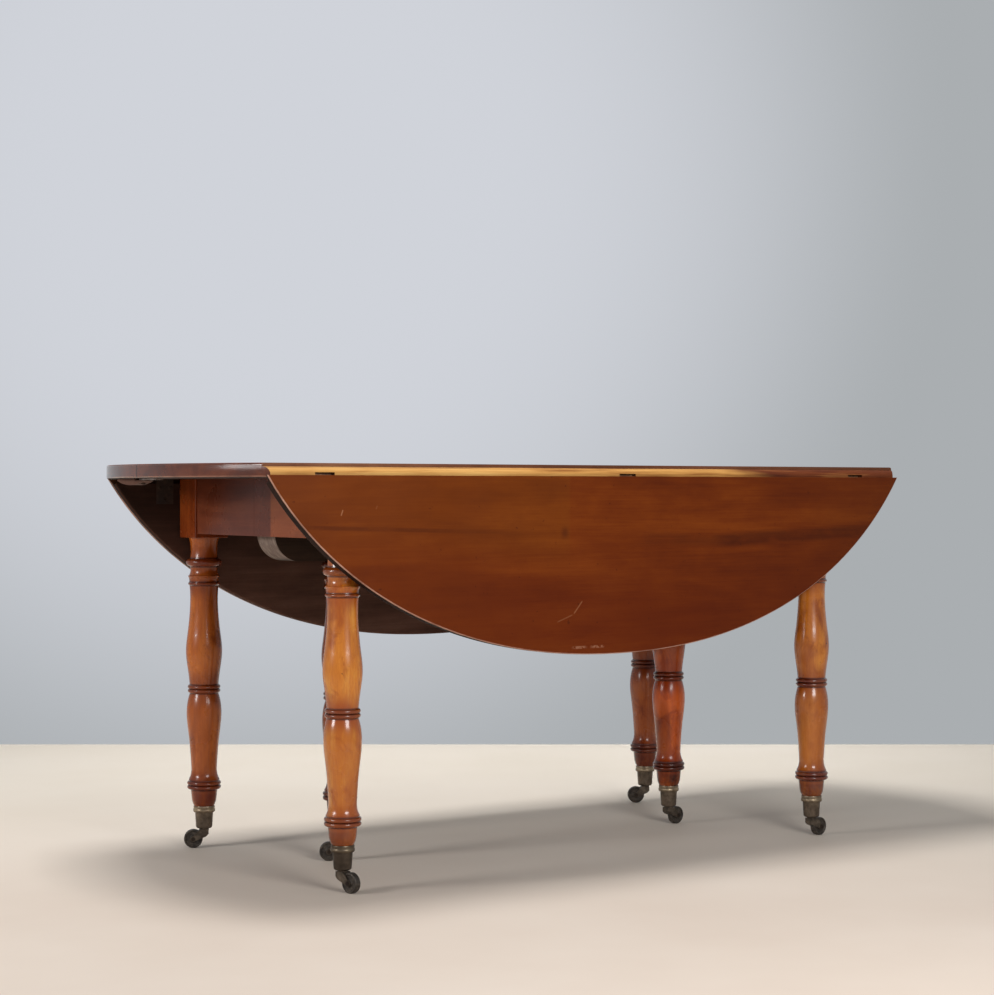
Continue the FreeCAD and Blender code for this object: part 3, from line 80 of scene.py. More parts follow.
class Material:
    """One procedural material, built up with short calls."""

    def __init__(self, name, metallic=0.0, specular=0.5, coat=0.0, coat_roughness=0.2):
        self.material = bpy.data.materials.new(name)
        self.material.use_nodes = True
        self.tree = self.material.node_tree
        self.shader = self.tree.nodes["Principled BSDF"]
        self.shader.inputs["Metallic"].default_value = metallic
        self.shader.inputs["Specular IOR Level"].default_value = specular
        self.shader.inputs["Coat Weight"].default_value = coat
        self.shader.inputs["Coat Roughness"].default_value = coat_roughness
        coordinates = self.add("ShaderNodeTexCoord")
        self.position = coordinates.outputs["Object"]
        self.place = self.parts_of(self.position)
        self.facing = self.parts_of(coordinates.outputs["Normal"])

    def add(self, kind, inputs=None, **settings):
        node = self.tree.nodes.new(kind)
        for key, value in settings.items():
            setattr(node, key, value)
        for key, value in (inputs or {}).items():
            self.feed(node.inputs[key], value)
        return node

    def feed(self, socket, value):
        if isinstance(value, bpy.types.NodeSocket):
            self.tree.links.new(value, socket)
        else:
            socket.default_value = value

    def parts_of(self, vector):
        """X, Y and Z of a vector."""
        return self.add("ShaderNodeSeparateXYZ", {0: vector}).outputs

    def stretched(self, scale):
        """The position, scaled along each axis."""
        return self.add("ShaderNodeMapping", {"Vector": self.position, "Scale": scale}).outputs[0]

    def noise(self, vector, scale, detail=3.0, roughness=0.55, distortion=0.0):
        node = self.add("ShaderNodeTexNoise", {"Vector": vector, "Scale": scale, "Detail": detail,
                                               "Roughness": roughness, "Distortion": distortion})
        return node.outputs["Fac"]

    def calc(self, operation, first, second=0.0):
        return self.add("ShaderNodeMath", {0: first, 1: second}, operation=operation).outputs[0]

    def span(self, value, low, high, start=0.0, finish=1.0, smooth=True):
        """Goes from start to finish as value goes from low to high."""
        limits = {"Value": value, "From Min": low, "From Max": high, "To Min": start, "To Max": finish}
        kind = "SMOOTHSTEP" if smooth else "LINEAR"
        return self.add("ShaderNodeMapRange", limits, interpolation_type=kind).outputs["Result"]

    def ramp(self, value, stops):
        """A colour ramp with (place, colour) stops."""
        node = self.add("ShaderNodeValToRGB", {0: value})
        elements = node.color_ramp.elements
        while len(elements) < len(stops):
            elements.new(0.5)
        for element, (place, colour) in zip(elements, stops):
            element.position = place
            element.color = colour
        return node.outputs[0]

    def mix(self, factor, first, second, blend="MIX"):
        node = self.add("ShaderNodeMix", data_type="RGBA", blend_type=blend)
        self.feed(node.inputs[0], factor)
        self.feed(node.inputs[6], first)
        self.feed(node.inputs[7], second)
        return node.outputs[2]

    def both(self, first, second):
        return self.calc("MULTIPLY", first, second)

    def either(self, first, second):
        return self.calc("MAXIMUM", first, second)

    def without(self, first, second):
        """The first mask where the second isn't."""
        return self.both(first, self.calc("SUBTRACT", 1.0, second))

    def above(self, value, level, soft):
        """Mask of the values over a level, soft to both sides of it."""
        return self.span(value, level - soft, level + soft)

    def below(self, value, level, soft):
        """Mask of the values under a level, soft to both sides of it."""
        return self.span(value, level - soft, level + soft, 1.0, 0.0)

    def band(self, value, middle, half_width, soft):
        """A soft-edged mask around one value."""
        away = self.calc("ABSOLUTE", self.calc("SUBTRACT", value, middle))
        return self.span(away, half_width, half_width + soft, 1.0, 0.0)

    def bump(self, height, depth, strength=1.0, over=None):
        """Normal of a bumpy surface, laid over another bump's if one is given."""
        inputs = {"Height": height, "Distance": depth, "Strength": strength}
        if over is not None:
            inputs["Normal"] = over
        return self.add("ShaderNodeBump", inputs).outputs[0]

    def finish(self, colour, roughness, normal=None):
        self.feed(self.shader.inputs["Base Color"], colour)
        self.feed(self.shader.inputs["Roughness"], roughness)
        if normal is not None:
            self.tree.links.new(normal, self.shader.inputs["Normal"])
        return self.material


def grain_scale(along, stretch):
    """Scale of a pattern that is drawn out along one axis."""
    return tuple(1 / stretch if axis == along else 1.0 for axis in "XYZ")


# How far a wood's tone runs from its middle to its dark and pale ends, how dark its pores are,
# and how much its roughness varies to each side.
TONE_REACH = 0.16
PORE_SHARE = 0.35
GLOSS_SPREAD = 0.05


class Wood(Material):
    """Material with a wood's figure, fibres and pores along one axis."""

    def __init__(self, name, along, figure=20.0, specular=0.25, **settings):
        super().__init__(name, specular=specular, **settings)
        self.figure = self.noise(self.stretched(grain_scale(along, 9)), figure, 4, 0.55, 0.6)
        self.fibres = self.noise(self.stretched(grain_scale(along, 40)), 330, 3, 0.6)
        self.pores = self.span(self.noise(self.stretched(grain_scale(along, 14)), 1100, 2, 0.5), 0.60, 0.74)
        self.clouds = self.noise(self.position, 3.2, 3, 0.5)
        self.mottle = self.noise(self.stretched(grain_scale(along, 2.2)), 26, 4, 0.6, 0.3)
        self.specks = self.span(self.noise(self.position, 70, 2, 0.7), 0.70, 0.76)

    def tone(self, figure=0.45, fibres=0.15, clouds=0.2, mottle=0.2):
        """The wood's lightness, around a half, from its patterns."""
        total = self.calc("MULTIPLY", self.figure, figure)
        for pattern, share in ((self.fibres, fibres), (self.clouds, clouds), (self.mottle, mottle)):
            total = self.calc("ADD", total, self.calc("MULTIPLY", pattern, share))
        return total

    def colour(self, dark, mid, pale, contrast=1.0):
        """Wood colour from dark through mid to pale, with darker pores."""
        reach = TONE_REACH / contrast
        stops = [(0.5 - reach, srgb(dark)), (0.5, srgb(mid)), (0.5 + reach, srgb(pale))]
        return self.mix(self.both(self.pores, PORE_SHARE), self.ramp(self.tone(), stops), srgb(dark))

    def surface(self, depth=0.00012, strength=0.4, over=None):
        """Normal of the fibres and pores."""
        height = self.calc("SUBTRACT", self.calc("MULTIPLY", self.fibres, 0.35), self.pores)
        return self.bump(height, depth, strength, over)

    def gloss(self, value):
        """Roughness around a value, uneven as old polish is."""
        clouds = self.noise(self.position, 9, 4, 0.6)
        return self.span(clouds, 0.3, 0.7, value - GLOSS_SPREAD, value + GLOSS_SPREAD, False)

    def between(self, low, high, soft):
        """Mask of a stretch along X."""
        return self.both(self.above(self.place[0], low, soft), self.below(self.place[0], high, soft))

    def line(self, start, end, width):
        """Mask of a thin straight line with the X and Z of its start and end."""
        run, rise = end[0] - start[0], end[1] - start[1]
        length = math.hypot(run, rise)
        across = self.calc("SUBTRACT", self.place[0], start[0])
        up = self.calc("SUBTRACT", self.place[2], start[1])
        along = self.calc("ADD", self.both(across, run / length), self.both(up, rise / length))
        off = self.calc("SUBTRACT", self.both(up, run / length), self.both(across, rise / length))
        taper = 0.15 * length
        inside = self.both(self.span(along, 0.0, taper), self.span(along, length - taper, length, 1.0, 0.0))
        return self.both(inside, self.band(off, 0.0, width / 4, width / 2))


# --- woods -----------------------------------------------------------------------------------------

SPECK_COLOUR = srgb("35140b")


def bare_edge(m):
    """Colour of the unpolished rule joint, stained towards the right end."""
    streaks = m.tone(0.5, 0.3, 0.1, 0.1)
    bare = m.ramp(streaks, [(0.36, srgb("9a602b")), (0.46, srgb("d09650")), (0.58, srgb("e9b468"))])
    stained = m.ramp(streaks, [(0.40, srgb("54220f")), (0.5, srgb("76391a")), (0.60, srgb("b47a42"))])
    worn = m.span(m.calc("ADD", m.place[0], m.calc("MULTIPLY", m.figure, 0.5)), 0.45, 0.60)
    return m.mix(worn, bare, stained)


def top_material(side):
    """Half top: polished face and rim, bare rule joint, dark underside."""
    m = Wood("top_near" if side == NEAR else "top_far", "X", specular=0.2, coat_roughness=0.1)
    sideways = m.span(m.calc("ABSOLUTE", m.facing[2]), 0.55, 0.85, 1.0, 0.0)
    face, rim = m.colour("4c1d0b", "682b10", "803f18"), m.colour("421a0c", "5e2912", "783c1f")
    colour = m.mix(sideways, face, rim)
    lower_arris = m.both(m.band(m.facing[2], -0.45, 0.2, 0.15), m.span(m.mottle, 0.35, 0.6, 0.2, 0.7))
    colour = m.mix(lower_arris, colour, srgb("94604a"))
    # dark polish in the seam between the half tops
    seam = m.both(m.band(m.place[1], 0.0, SEAM_HALF_WIDTH, SEAM_HALF_WIDTH), 0.85)
    colour = m.mix(seam, colour, srgb("140805"))
    out = m.calc("MULTIPLY", m.place[1], side)
    along_joint = m.span(m.calc("ABSOLUTE", m.facing[0]), 0.1, 0.3, 1.0, 0.0)
    at_step = m.span(out, hinge_line - 0.5 * MILLIMETRE, hinge_line - 0.1 * MILLIMETRE)
    step = m.both(m.both(at_step, sideways), along_joint)
    colour = m.mix(step, colour, m.colour("56301c", "784a32", "9a6a4a"))
    beyond_step = m.span(out, hinge_line + 0.2 * MILLIMETRE, hinge_line + 0.6 * MILLIMETRE)
    step_height = table_top - JOINT_STEP
    below_step = m.span(m.place[2], step_height - 0.2 * MILLIMETRE, step_height + 0.3 * MILLIMETRE, 1.0, 0.0)
    bare = m.both(m.both(beyond_step, below_step), along_joint)
    # polish has run into the joint's upper corner
    smear = m.span(m.place[2], pivot_height + 10 * MILLIMETRE, pivot_height + 13 * MILLIMETRE)
    smear = m.both(smear, m.span(m.figure, 0.42, 0.6, 0.0, 0.6))
    colour = m.mix(bare, colour, m.mix(smear, bare_edge(m), srgb("7a3f1a")))
    below = m.span(m.facing[2], -0.75, -0.55, 1.0, 0.0)
    colour = m.mix(m.without(below, bare), colour, m.colour("1c0d08", "2b160e", "3d2418"))
    # only the rim is still bright, and it is worn a little round
    on_rim = m.both(sideways, m.span(m.calc("ABSOLUTE", m.facing[0]), 0.4, 0.6))
    m.feed(m.shader.inputs["Coat Weight"], m.both(on_rim, RIM_COAT))
    up = m.calc("SUBTRACT", m.place[2], (table_top + underside) / 2)
    crown = m.both(m.calc("MULTIPLY", m.both(up, up), -RIM_CROWN), on_rim)
    polished = m.mix(on_rim, m.gloss(0.58), m.gloss(0.2))
    roughness = m.mix(m.either(m.either(below, bare), step), polished, m.gloss(0.62))
    return m.finish(colour, roughness, m.surface(over=m.bump(crown, 1.0)))


# The near leaf's marks, as X and Z in metres: dark streaks in the wood with their ends, width and
# strength, pale scratches with their ends and strength, the chips on the lower edge, and a knot.
STREAKS = (((-0.70, 0.6325), (-0.22, 0.6185), 0.007, 0.4), ((0.05, 0.6035), (0.32, 0.598), 0.022, 0.35),
           ((0.22, 0.5975), (0.68, 0.614), 0.024, 0.55))
SCRATCHES = (((-0.072, 0.493), (-0.093, 0.468), 0.35), ((-0.093, 0.468), (-0.131, 0.4545), 0.22),
             ((-0.5725, 0.661), (-0.5765, 0.650), 0.6), ((-0.505, 0.668), (-0.508, 0.661), 0.15))
CHIPS = ((-0.093, -0.066), (-0.052, -0.026))
CHIP_HEIGHT = 0.4075
KNOT = (-0.1119, 0.617)
SCRATCH_WIDTH = 2.2 * MILLIMETRE
# X of the seam where the outer face changes from one board to the next.
BOARD_SEAM = -0.1017


def leaf_marks(m, colour):
    """The near leaf's streaks, knot, scratches and chips."""
    for start, end, width, share in STREAKS:
        dark = m.both(m.line(start, end, width), m.span(m.mottle, 0.35, 0.6, 0.35, 1.0))
        colour = m.mix(m.both(dark, share), colour, srgb("3a1408"))
    knot = m.both(m.band(m.place[0], KNOT[0], 0.001, 0.012), m.band(m.place[2], KNOT[1], 0.001, 0.016))
    colour = m.mix(m.both(knot, 0.45), colour, srgb("3a150b"))
    for start, end, share in SCRATCHES:
        colour = m.mix(m.both(m.line(start, end, SCRATCH_WIDTH), share), colour, srgb("b5805a"))
    for low, high in CHIPS:
        chip = m.both(m.between(low, high, 0.006), m.band(m.place[2], CHIP_HEIGHT, 0.0012, 0.0022))
        chip = m.both(chip, m.span(m.noise(m.position, 240, 2), 0.40, 0.55))
        colour = m.mix(chip, colour, srgb("96634a"))
    return colour


def leaf_material(side):
    """Leaf: polished outer face, dark inner face and edge, rubbed outer arris; the inner face has painted
    shade near its top and painted light lower down.
    """
    m = Wood("leaf_near" if side == NEAR else "leaf_far", "X", specular=0.1)
    colour = m.colour("541e07", "6f2f09", "86400f")
    # the board left of the seam is a little browner, the lower middle darker and redder as painted shade,
    # the right end darker
    left_board = m.span(m.place[0], BOARD_SEAM - 2 * MILLIMETRE, BOARD_SEAM + 4 * MILLIMETRE, 1.0, 0.0)
    upper = m.span(m.calc("ADD", m.place[2], m.calc("MULTIPLY", m.clouds, 0.1)), 0.60, 0.68)
    colour = m.mix(m.both(m.both(left_board, upper), 0.15), colour, srgb("784a0f"))
    lower = m.both(m.span(m.place[2], 0.45, 0.64, 1.0, 0.0), m.span(m.clouds, 0.3, 0.6, 0.6, 1.0))
    colour = m.mix(m.both(lower, 0.6), colour, srgb("5c1f08"))
    drift = m.calc("ADD", m.place[0], m.calc("MULTIPLY", m.clouds, 0.3))
    colour = m.mix(m.span(drift, -0.5, 0.1, 0.35, 0.0), colour, srgb("78360c"))
    colour = m.mix(m.span(drift, 0.45, 0.9, 0.0, 0.35), colour, srgb("4c1c08"))
    if side == NEAR:
        colour = leaf_marks(m, colour)
    colour = m.mix(m.both(m.specks, 0.45), colour, SPECK_COLOUR)
    lip = m.span(m.place[2], pivot_height - 1.5 * MILLIMETRE, pivot_height - 0.5 * MILLIMETRE)
    colour = m.mix(m.both(lip, m.span(m.mottle, 0.4, 0.6, 0.1, 0.6)), colour, srgb("9a5a30"))
    out = m.calc("MULTIPLY", m.facing[1], side)
    # the inner face is painted darker near the top, as painted shade under the table, and paler lower down,
    # as painted light
    inner_painted_light_and_shade = m.mix(m.span(m.place[2], 0.48, 0.68), m.colour("4a332a", "6a4b3f", "806052"),
                       m.colour("201310", "301e17", "463026"))
    inside = m.span(out, -0.6, -0.3, 1.0, 0.0)
    edge = m.span(m.calc("ABSOLUTE", out), 0.2, 0.5, 1.0, 0.0)
    colour = m.mix(edge, colour, m.colour("140804", "200e07", "331a10"))
    arris = m.both(m.span(out, 0.15, 0.35), m.span(out, 0.8, 0.95, 1.0, 0.0))
    from_middle = m.calc("MULTIPLY", m.place[1], side)
    if side == FAR:
        outer_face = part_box("far_leaf")[1].y
        outer_half = m.span(from_middle, outer_face - 13 * MILLIMETRE, outer_face - 9 * MILLIMETRE)
        arris = m.either(arris, m.both(m.both(outer_half, edge), 0.6))
    colour = m.mix(m.both(arris, m.span(m.mottle, 0.35, 0.6, 0.5, 0.95)), colour, srgb("c39884"))
    colour = m.mix(inside, colour, inner_painted_light_and_shade)
    # hollow of the rule joint
    cove = m.both(m.above(m.place[2], pivot_height - COVE_DEPTH, 0.5 * MILLIMETRE),
                  m.below(from_middle, hinge_line + COVE_REACH, 0.3 * MILLIMETRE))
    cove = m.both(cove, m.span(m.calc("ABSOLUTE", m.facing[0]), 0.1, 0.3, 1.0, 0.0))
    colour = m.mix(cove, colour, m.colour("2e180d", "4a2c1a", "6f482c"))
    roughness = m.mix(m.either(m.either(inside, edge), cove), m.gloss(0.36), m.gloss(0.68))
    return m.finish(colour, roughness, m.surface())


# Heights of the turning's grooves, where dark polish has gathered, with half the width of each;
# and of its rings, whose wood is darker, with half the height of each.
LEG_GROOVES = ((0.1135, 0.0012), (0.1225, 0.0016), (0.1312, 0.0012), (0.3008, 0.0012), (0.3092, 0.0016),
               (0.3176, 0.0012), (0.5095, 0.0012), (0.5165, 0.0012), (0.5455, 0.0014), (0.5625, 0.0014))
LEG_RINGS = ((0.1225, 0.0095), (0.3092, 0.0085), (0.513, 0.0030), (0.554, 0.0075))


def leg_material(name, dark, mid, pale, foot):
    """Turned leg: blotched swellings, dark polish in the grooves, a redder foot and a square head."""
    near = name.startswith("near")
    coat = 0.6 if near else 0.3
    m = Wood("wood_" + name, "Z", figure=34, specular=0.3, coat=coat, coat_roughness=0.13)
    colour = m.colour(dark, mid, pale, 0.9)
    blotch = m.span(m.noise(m.stretched((1, 1, 0.6)), 24, 4, 0.65, 0.5), 0.48, 0.68, 0.0, 0.8)
    colour = m.mix(blotch, colour, srgb(dark))
    stain = m.span(m.noise(m.stretched((1, 1, 0.35)), 9, 3, 0.6), 0.52, 0.72, 0.0, 0.5)
    colour = m.mix(stain, colour, srgb(foot))
    # the near legs have kept more of the stain below the middle ring; the centre legs are painted darker
    # above it, as painted shade under the leaves
    if near:
        colour = m.mix(m.span(m.place[2], 0.29, 0.37, 0.35, 0.0), colour, srgb(dark))
    if "centre" in name:
        colour = m.mix(m.span(m.place[2], 0.32, 0.42, 0.0, 0.5), colour, srgb("501c08"))
    rings = grooves = reddened = 0.0
    for height, half_width in LEG_RINGS:
        rings = m.either(rings, m.band(m.place[2], height, half_width, 0.004))
        reddened = m.either(reddened, m.band(m.place[2], height, half_width, 0.035))
    for height, half_width in LEG_GROOVES:
        grooves = m.either(grooves, m.band(m.place[2], height, half_width / 2, half_width))
    colour = m.mix(m.both(reddened, m.span(m.mottle, 0.35, 0.65, 0.5, 1.0)), colour, srgb(dark))
    colour = m.mix(m.both(rings, m.span(m.mottle, 0.35, 0.65, 0.5, 0.9)), colour, srgb(foot))
    low = m.span(m.calc("ADD", m.place[2], m.calc("MULTIPLY", m.mottle, 0.01)), 0.108, 0.122, 1.0, 0.0)
    colour = m.mix(m.both(low, m.span(m.mottle, 0.35, 0.65, 0.45, 1.0)), colour, srgb(foot))
    colour = m.mix(m.both(grooves, 0.65), colour, srgb("3c1408"))
    head = m.above(m.place[2], underside - HEAD_HEIGHT, 1 * MILLIMETRE)
    colour = m.mix(head, colour, m.colour("551f0b", "7a3412", "94491c"))
    colour = m.mix(m.both(m.specks, 0.6), colour, SPECK_COLOUR)
    return m.finish(colour, m.gloss(0.26), m.surface())


# Dark, middle and pale wood and the foot of each leg: the legs differ in tone.
LEG_COLOURS = {
    "near_left_leg": ("9a460e", "cc7a22", "eeb04a", "743008"),
    "near_right_leg": ("92440e", "c47222", "e2983a", "541608"),
    "far_left_leg": ("7a3410", "aa561a", "c87228", "64230a"),
    "far_right_leg": ("702c10", "9f4e1e", "bc662e", "4c1609"),
    "left_centre_leg": ("5f2810", "86401a", "a05628", "4a1d0c"),
    "right_centre_leg": ("862e08", "be5210", "dc7424", "2c0c04"),
}


def apron_material(along, name):
    """Apron: polished outer face, plain inner face."""
    m = Wood(name, along, specular=0.25)
    colour = m.colour("451b0e", "66301c", "80452c")
    if along == "Y":
        # the near part of the left end is a warmer board
        warm = m.both(m.below(m.place[1], WARM_BOARD_EDGE, 2 * MILLIMETRE),
                      m.span(m.place[0], -0.1, 0.0, 1.0, 0.0))
        colour = m.mix(m.both(warm, 0.7), colour, m.colour("84401c", "9c5228", "b06838"))
    outward = 1 if along == "X" else 0
    inner = m.span(m.both(m.facing[outward], m.calc("SIGN", m.place[outward])), -0.7, -0.3, 1.0, 0.0)
    colour = m.mix(inner, colour, m.colour("5f3f28", "7a583b", "94704f"))
    roughness = m.mix(inner, m.gloss(0.3), m.gloss(0.7))
    return m.finish(colour, roughness, m.surface())


def beam_material():
    """Unpolished beam gone grey-brown, paler on its rounded end; its long-grain sides are painted dark as
    painted shade.
    """
    m = Wood("beam_wood", "X")
    # long-grain sides painted dark, as painted shade
    shaded_long_grain = m.colour("1e140e", "33241a", "4a3628")
    rings = m.noise(m.stretched((1.0, 3.0, 1.0)), 46, 4, 0.65)
    end_grain = m.ramp(rings, [(0.3, srgb("55443b")), (0.5, srgb("76655b")), (0.7, srgb("94857a"))])
    at_end = m.span(m.calc("ABSOLUTE", m.facing[0]), 0.2, 0.55)
    return m.finish(m.mix(at_end, shaded_long_grain, end_grain), m.gloss(0.75), m.surface(0.0002, 0.5))


def plain_wood(name, dark, mid, pale):
    """Unpolished working wood with its grain along Y."""
    m = Wood(name, "Y")
    return m.finish(m.colour(dark, mid, pale), m.gloss(0.7), m.surface(0.0002, 0.7))


# --- metals ------------------------------------------------------------------------------------------

def aged_metal(name, dark, mid, bright, roughness, metallic=0.85):
    """Old metal, cloudy and pitted, brighter where it is rubbed."""
    m = Material(name, metallic=metallic)
    clouds = m.noise(m.position, 60, 5, 0.65)
    pits = m.span(m.noise(m.position, 540, 2, 0.6), 0.62, 0.74)
    colour = m.ramp(clouds, [(0.32, srgb(dark)), (0.5, srgb(mid)), (0.68, srgb(bright))])
    colour = m.mix(m.both(pits, 0.6), colour, srgb(dark))
    rough = m.span(clouds, 0.3, 0.7, roughness + 0.1, roughness - 0.08, False)
    height = m.calc("SUBTRACT", m.calc("MULTIPLY", clouds, 0.5), pits)
    return m.finish(colour, rough, m.bump(height, 0.00015, 0.6))


# Heights of the rounded collar on each caster cup.
COLLAR_BOTTOM = 70 * MILLIMETRE
COLLAR_MIDDLE = 76 * MILLIMETRE


def cup_material():
    """Brass cup gone dark brown, rubbed bright on its collar."""
    m = Material("cup_bronze", metallic=0.75)
    clouds = m.noise(m.position, 55, 5, 0.65)
    body = m.ramp(clouds, [(0.3, srgb("443a30")), (0.5, srgb("625548")), (0.7, srgb("7c6e5e"))])
    collar = m.ramp(clouds, [(0.3, srgb("6c5c48")), (0.5, srgb("93816a")), (0.7, srgb("bba888"))])
    on_collar = m.above(m.place[2], COLLAR_BOTTOM, 1.5 * MILLIMETRE)
    rubbed = m.band(m.place[2], COLLAR_MIDDLE, 2 * MILLIMETRE, 3 * MILLIMETRE)
    colour = m.mix(m.both(on_collar, m.span(rubbed, 0.0, 1.0, 0.45, 1.0)), body, collar)
    # the near left cup is painted the darkest, as painted shade
    near_left = m.both(m.span(m.place[0], -0.1, 0.1, 1.0, 0.0), m.span(m.place[1], -0.2, -0.1, 1.0, 0.0))
    colour = m.mix(m.both(near_left, 0.6), colour, srgb("2a221b"))
    turned = m.noise(m.stretched((1, 1, 60)), 20, 2)
    rough = m.span(clouds, 0.3, 0.7, 0.48, 0.34, False)
    return m.finish(colour, rough, m.bump(turned, 0.00008, 0.4))


def wheel_material():
    """Dark wheel, dull on its sides and rubbed on its tread."""
    m = Material("wheel_iron", metallic=0.45)
    clouds = m.noise(m.position, 90, 5, 0.7)
    colour = m.ramp(clouds, [(0.3, srgb("26211d")), (0.5, srgb("3f3832")), (0.7, srgb("5e544a"))])
    return m.finish(colour, m.span(clouds, 0.3, 0.7, 0.62, 0.42, False), m.bump(clouds, 0.0003, 0.7))


def mesh_object(name, build, material):
    """An object whose mesh is built by a function of its bmesh."""
    shape = bmesh.new()
    build(shape)
    mesh = bpy.data.meshes.new(name)
    shape.to_mesh(mesh)
    shape.free()
    mesh.materials.append(material)
    obj = bpy.data.objects.new(name, mesh)
    bpy.context.scene.collection.objects.link(obj)
    return obj


# --- dress the frame ------------------------------------------------------------------------------------

def dress(node, material):
    """Give a carried-over node its material."""
    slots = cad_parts[node].data.materials
    slots.clear()
    slots.append(material)


for side_name, side in SIDES:
    dress(side_name + "_top", top_material(side))
    dress(side_name + "_leaf", leaf_material(side))
for leg, colours in LEG_COLOURS.items():
    dress(leg, leg_material(leg, *colours))
side_apron_wood = apron_material("X", "side_apron_wood")
end_apron_wood = apron_material("Y", "end_apron_wood")
slide_wood = plain_wood("slide_wood", "4a3524", "6b4f38", "86694d")
peg_wood = plain_wood("peg_wood", "8a6238", "b08450", "caa06c")
cleat_wood = plain_wood("cleat_wood", "301a13", "4e3127", "694a3c")
# brown hinge iron, made paler as painted light for the knuckles deep in the joint; its darker copy is
# painted shade for the far leaf's flaps
hinge_iron = aged_metal("hinge_iron", "4a2e1e", "764e34", "a0744e", 0.6, 0.2)
shaded_hinge_iron = aged_metal("shaded_hinge_iron", "1a100b", "291b12", "3e2a1c", 0.6, 0.2)
screw_steel = aged_metal("screw_steel", "231b16", "3d332c", "5f5349", 0.45)
cup_bronze = cup_material()
fork_iron = aged_metal("fork_iron", "352d26", "544a40", "776a5c", 0.45, 0.75)
wheel_iron = wheel_material()
latch_steel = aged_metal("latch_steel", "5f5048", "9a877c", "cdbdb2", 0.36, 0.7)
for side_name, side in SIDES:
    dress(side_name + "_side_apron", side_apron_wood)
    for end_name, end in ENDS:
        dress(side_name + "_" + end_name + "_apron", end_apron_wood)
    for part in ("outer_slides", "middle_slides", "lopers", "loper_keepers"):
        dress(side_name + "_" + part, slide_wood)
    # the far leaf's flaps take the darker copy, as painted shade
    dress(side_name + "_leaf_hinge_flaps", hinge_iron if side == NEAR else shaded_hinge_iron)
    for part in ("top_hinge_flaps", "hinge_pins"):
        dress(side_name + "_" + part, hinge_iron)
    dress(side_name + "_top_screws", screw_steel)
    dress(side_name + "_caster_cups", cup_bronze)
dress("centre_beam", beam_material())
dress("slide_bearers", slide_wood)
dress("joint_pegs", peg_wood)
dress("latch_cleats", cleat_wood)
dress("latch_screws", screw_steel)
for end_name, end in ENDS:
    dress(end_name + "_latch", latch_steel)
dress("centre_caster_cups", cup_bronze)
for caster in CASTERS:
    dress(caster + "_caster_fork", fork_iron)
    dress(caster + "_caster_axle", screw_steel)
    dress(caster + "_caster_wheel", wheel_iron)


# --- slotted screw heads, which the plain CAD screws and hinge flaps are finished with ---------------------

# X of the hinges; the screws' rows, each with its distance from the hinge's pivot and its places
# to each side; and the heads' sizes.
HINGE_PLACES = (-0.604, 0.035, 0.604)
SCREW_HALF_SPREAD = 11 * MILLIMETRE
TOP_SCREW_ROWS = ((15 * MILLIMETRE, (-1, 1)), (30 * MILLIMETRE, (0,)))
LEAF_SCREW_ROWS = ((21 * MILLIMETRE, (-1, 1)), (43 * MILLIMETRE, (0,)))
HINGE_SCREW_RADIUS = 3.3 * MILLIMETRE
WOOD_SCREW_RADIUS = 4.2 * MILLIMETRE
HEAD_RISE = 0.45 * MILLIMETRE
SLOT_SHARE = 0.13
HEAD_STEPS = 9


def half_moon(radius, rim, rise):
    """Points of one side of a slotted head at a height, the slot's edge included."""
    edge = SLOT_SHARE * radius
    start = math.asin(edge / rim)
    angles = [start + (math.pi - 2 * start) * step / HEAD_STEPS for step in range(HEAD_STEPS + 1)]
    return [(rim * math.cos(angle), rim * math.sin(angle), rise) for angle in angles]


def slotted_head(shape, centre, out, radius, turn):
    """A low domed screw head with a slot across it, on a surface that faces out."""
    across = Vector(out).orthogonal().normalized()
    across.rotate(Matrix.Rotation(turn, 3, Vector(out)))
    along = Vector(out).cross(across)
    levels = [(radius, 0.0), (radius, 0.45 * HEAD_RISE), (0.88 * radius, 0.85 * HEAD_RISE),
              (0.6 * radius, HEAD_RISE)]
    for way in (1, -1):
        rings = []
        for rim, rise in levels:
            points = half_moon(radius, rim, rise)
            rings.append([shape.verts.new(Vector(centre) + across * u * way + along * v * way
                                          + Vector(out) * w) for u, v, w in points])
        for lower, upper in zip(rings, rings[1:]):
            for step in range(HEAD_STEPS):
                shape.faces.new((lower[step], lower[step + 1], upper[step + 1], upper[step]))
            shape.faces.new((lower[-1], lower[0], upper[0], upper[-1]))
        shape.faces.new(rings[-1])
    slot_floor = []
    for step in range(2 * HEAD_STEPS):
        angle = 2 * math.pi * step / (2 * HEAD_STEPS)
        spoke = across * math.cos(angle) + along * math.sin(angle)
        place = Vector(centre) + spoke * radius * 0.97 + Vector(out) * 0.12 * HEAD_RISE
        slot_floor.append(shape.verts.new(place))
    shape.faces.new(slot_floor)


def turn_of(place):
    """The way a screw's slot happens to lie, the same each run."""
    return (place[0] * 41.3 + place[1] * 17.7 + place[2] * 29.1) % math.pi


def screws(name, places, out, radius, body):
    """Slotted heads at the given places, as one piece."""
    def build(shape):
        for place in places:
            slotted_head(shape, place, out, radius, turn_of(place))
    piece = mesh_object(name, build, screw_steel)
    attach(piece, body)


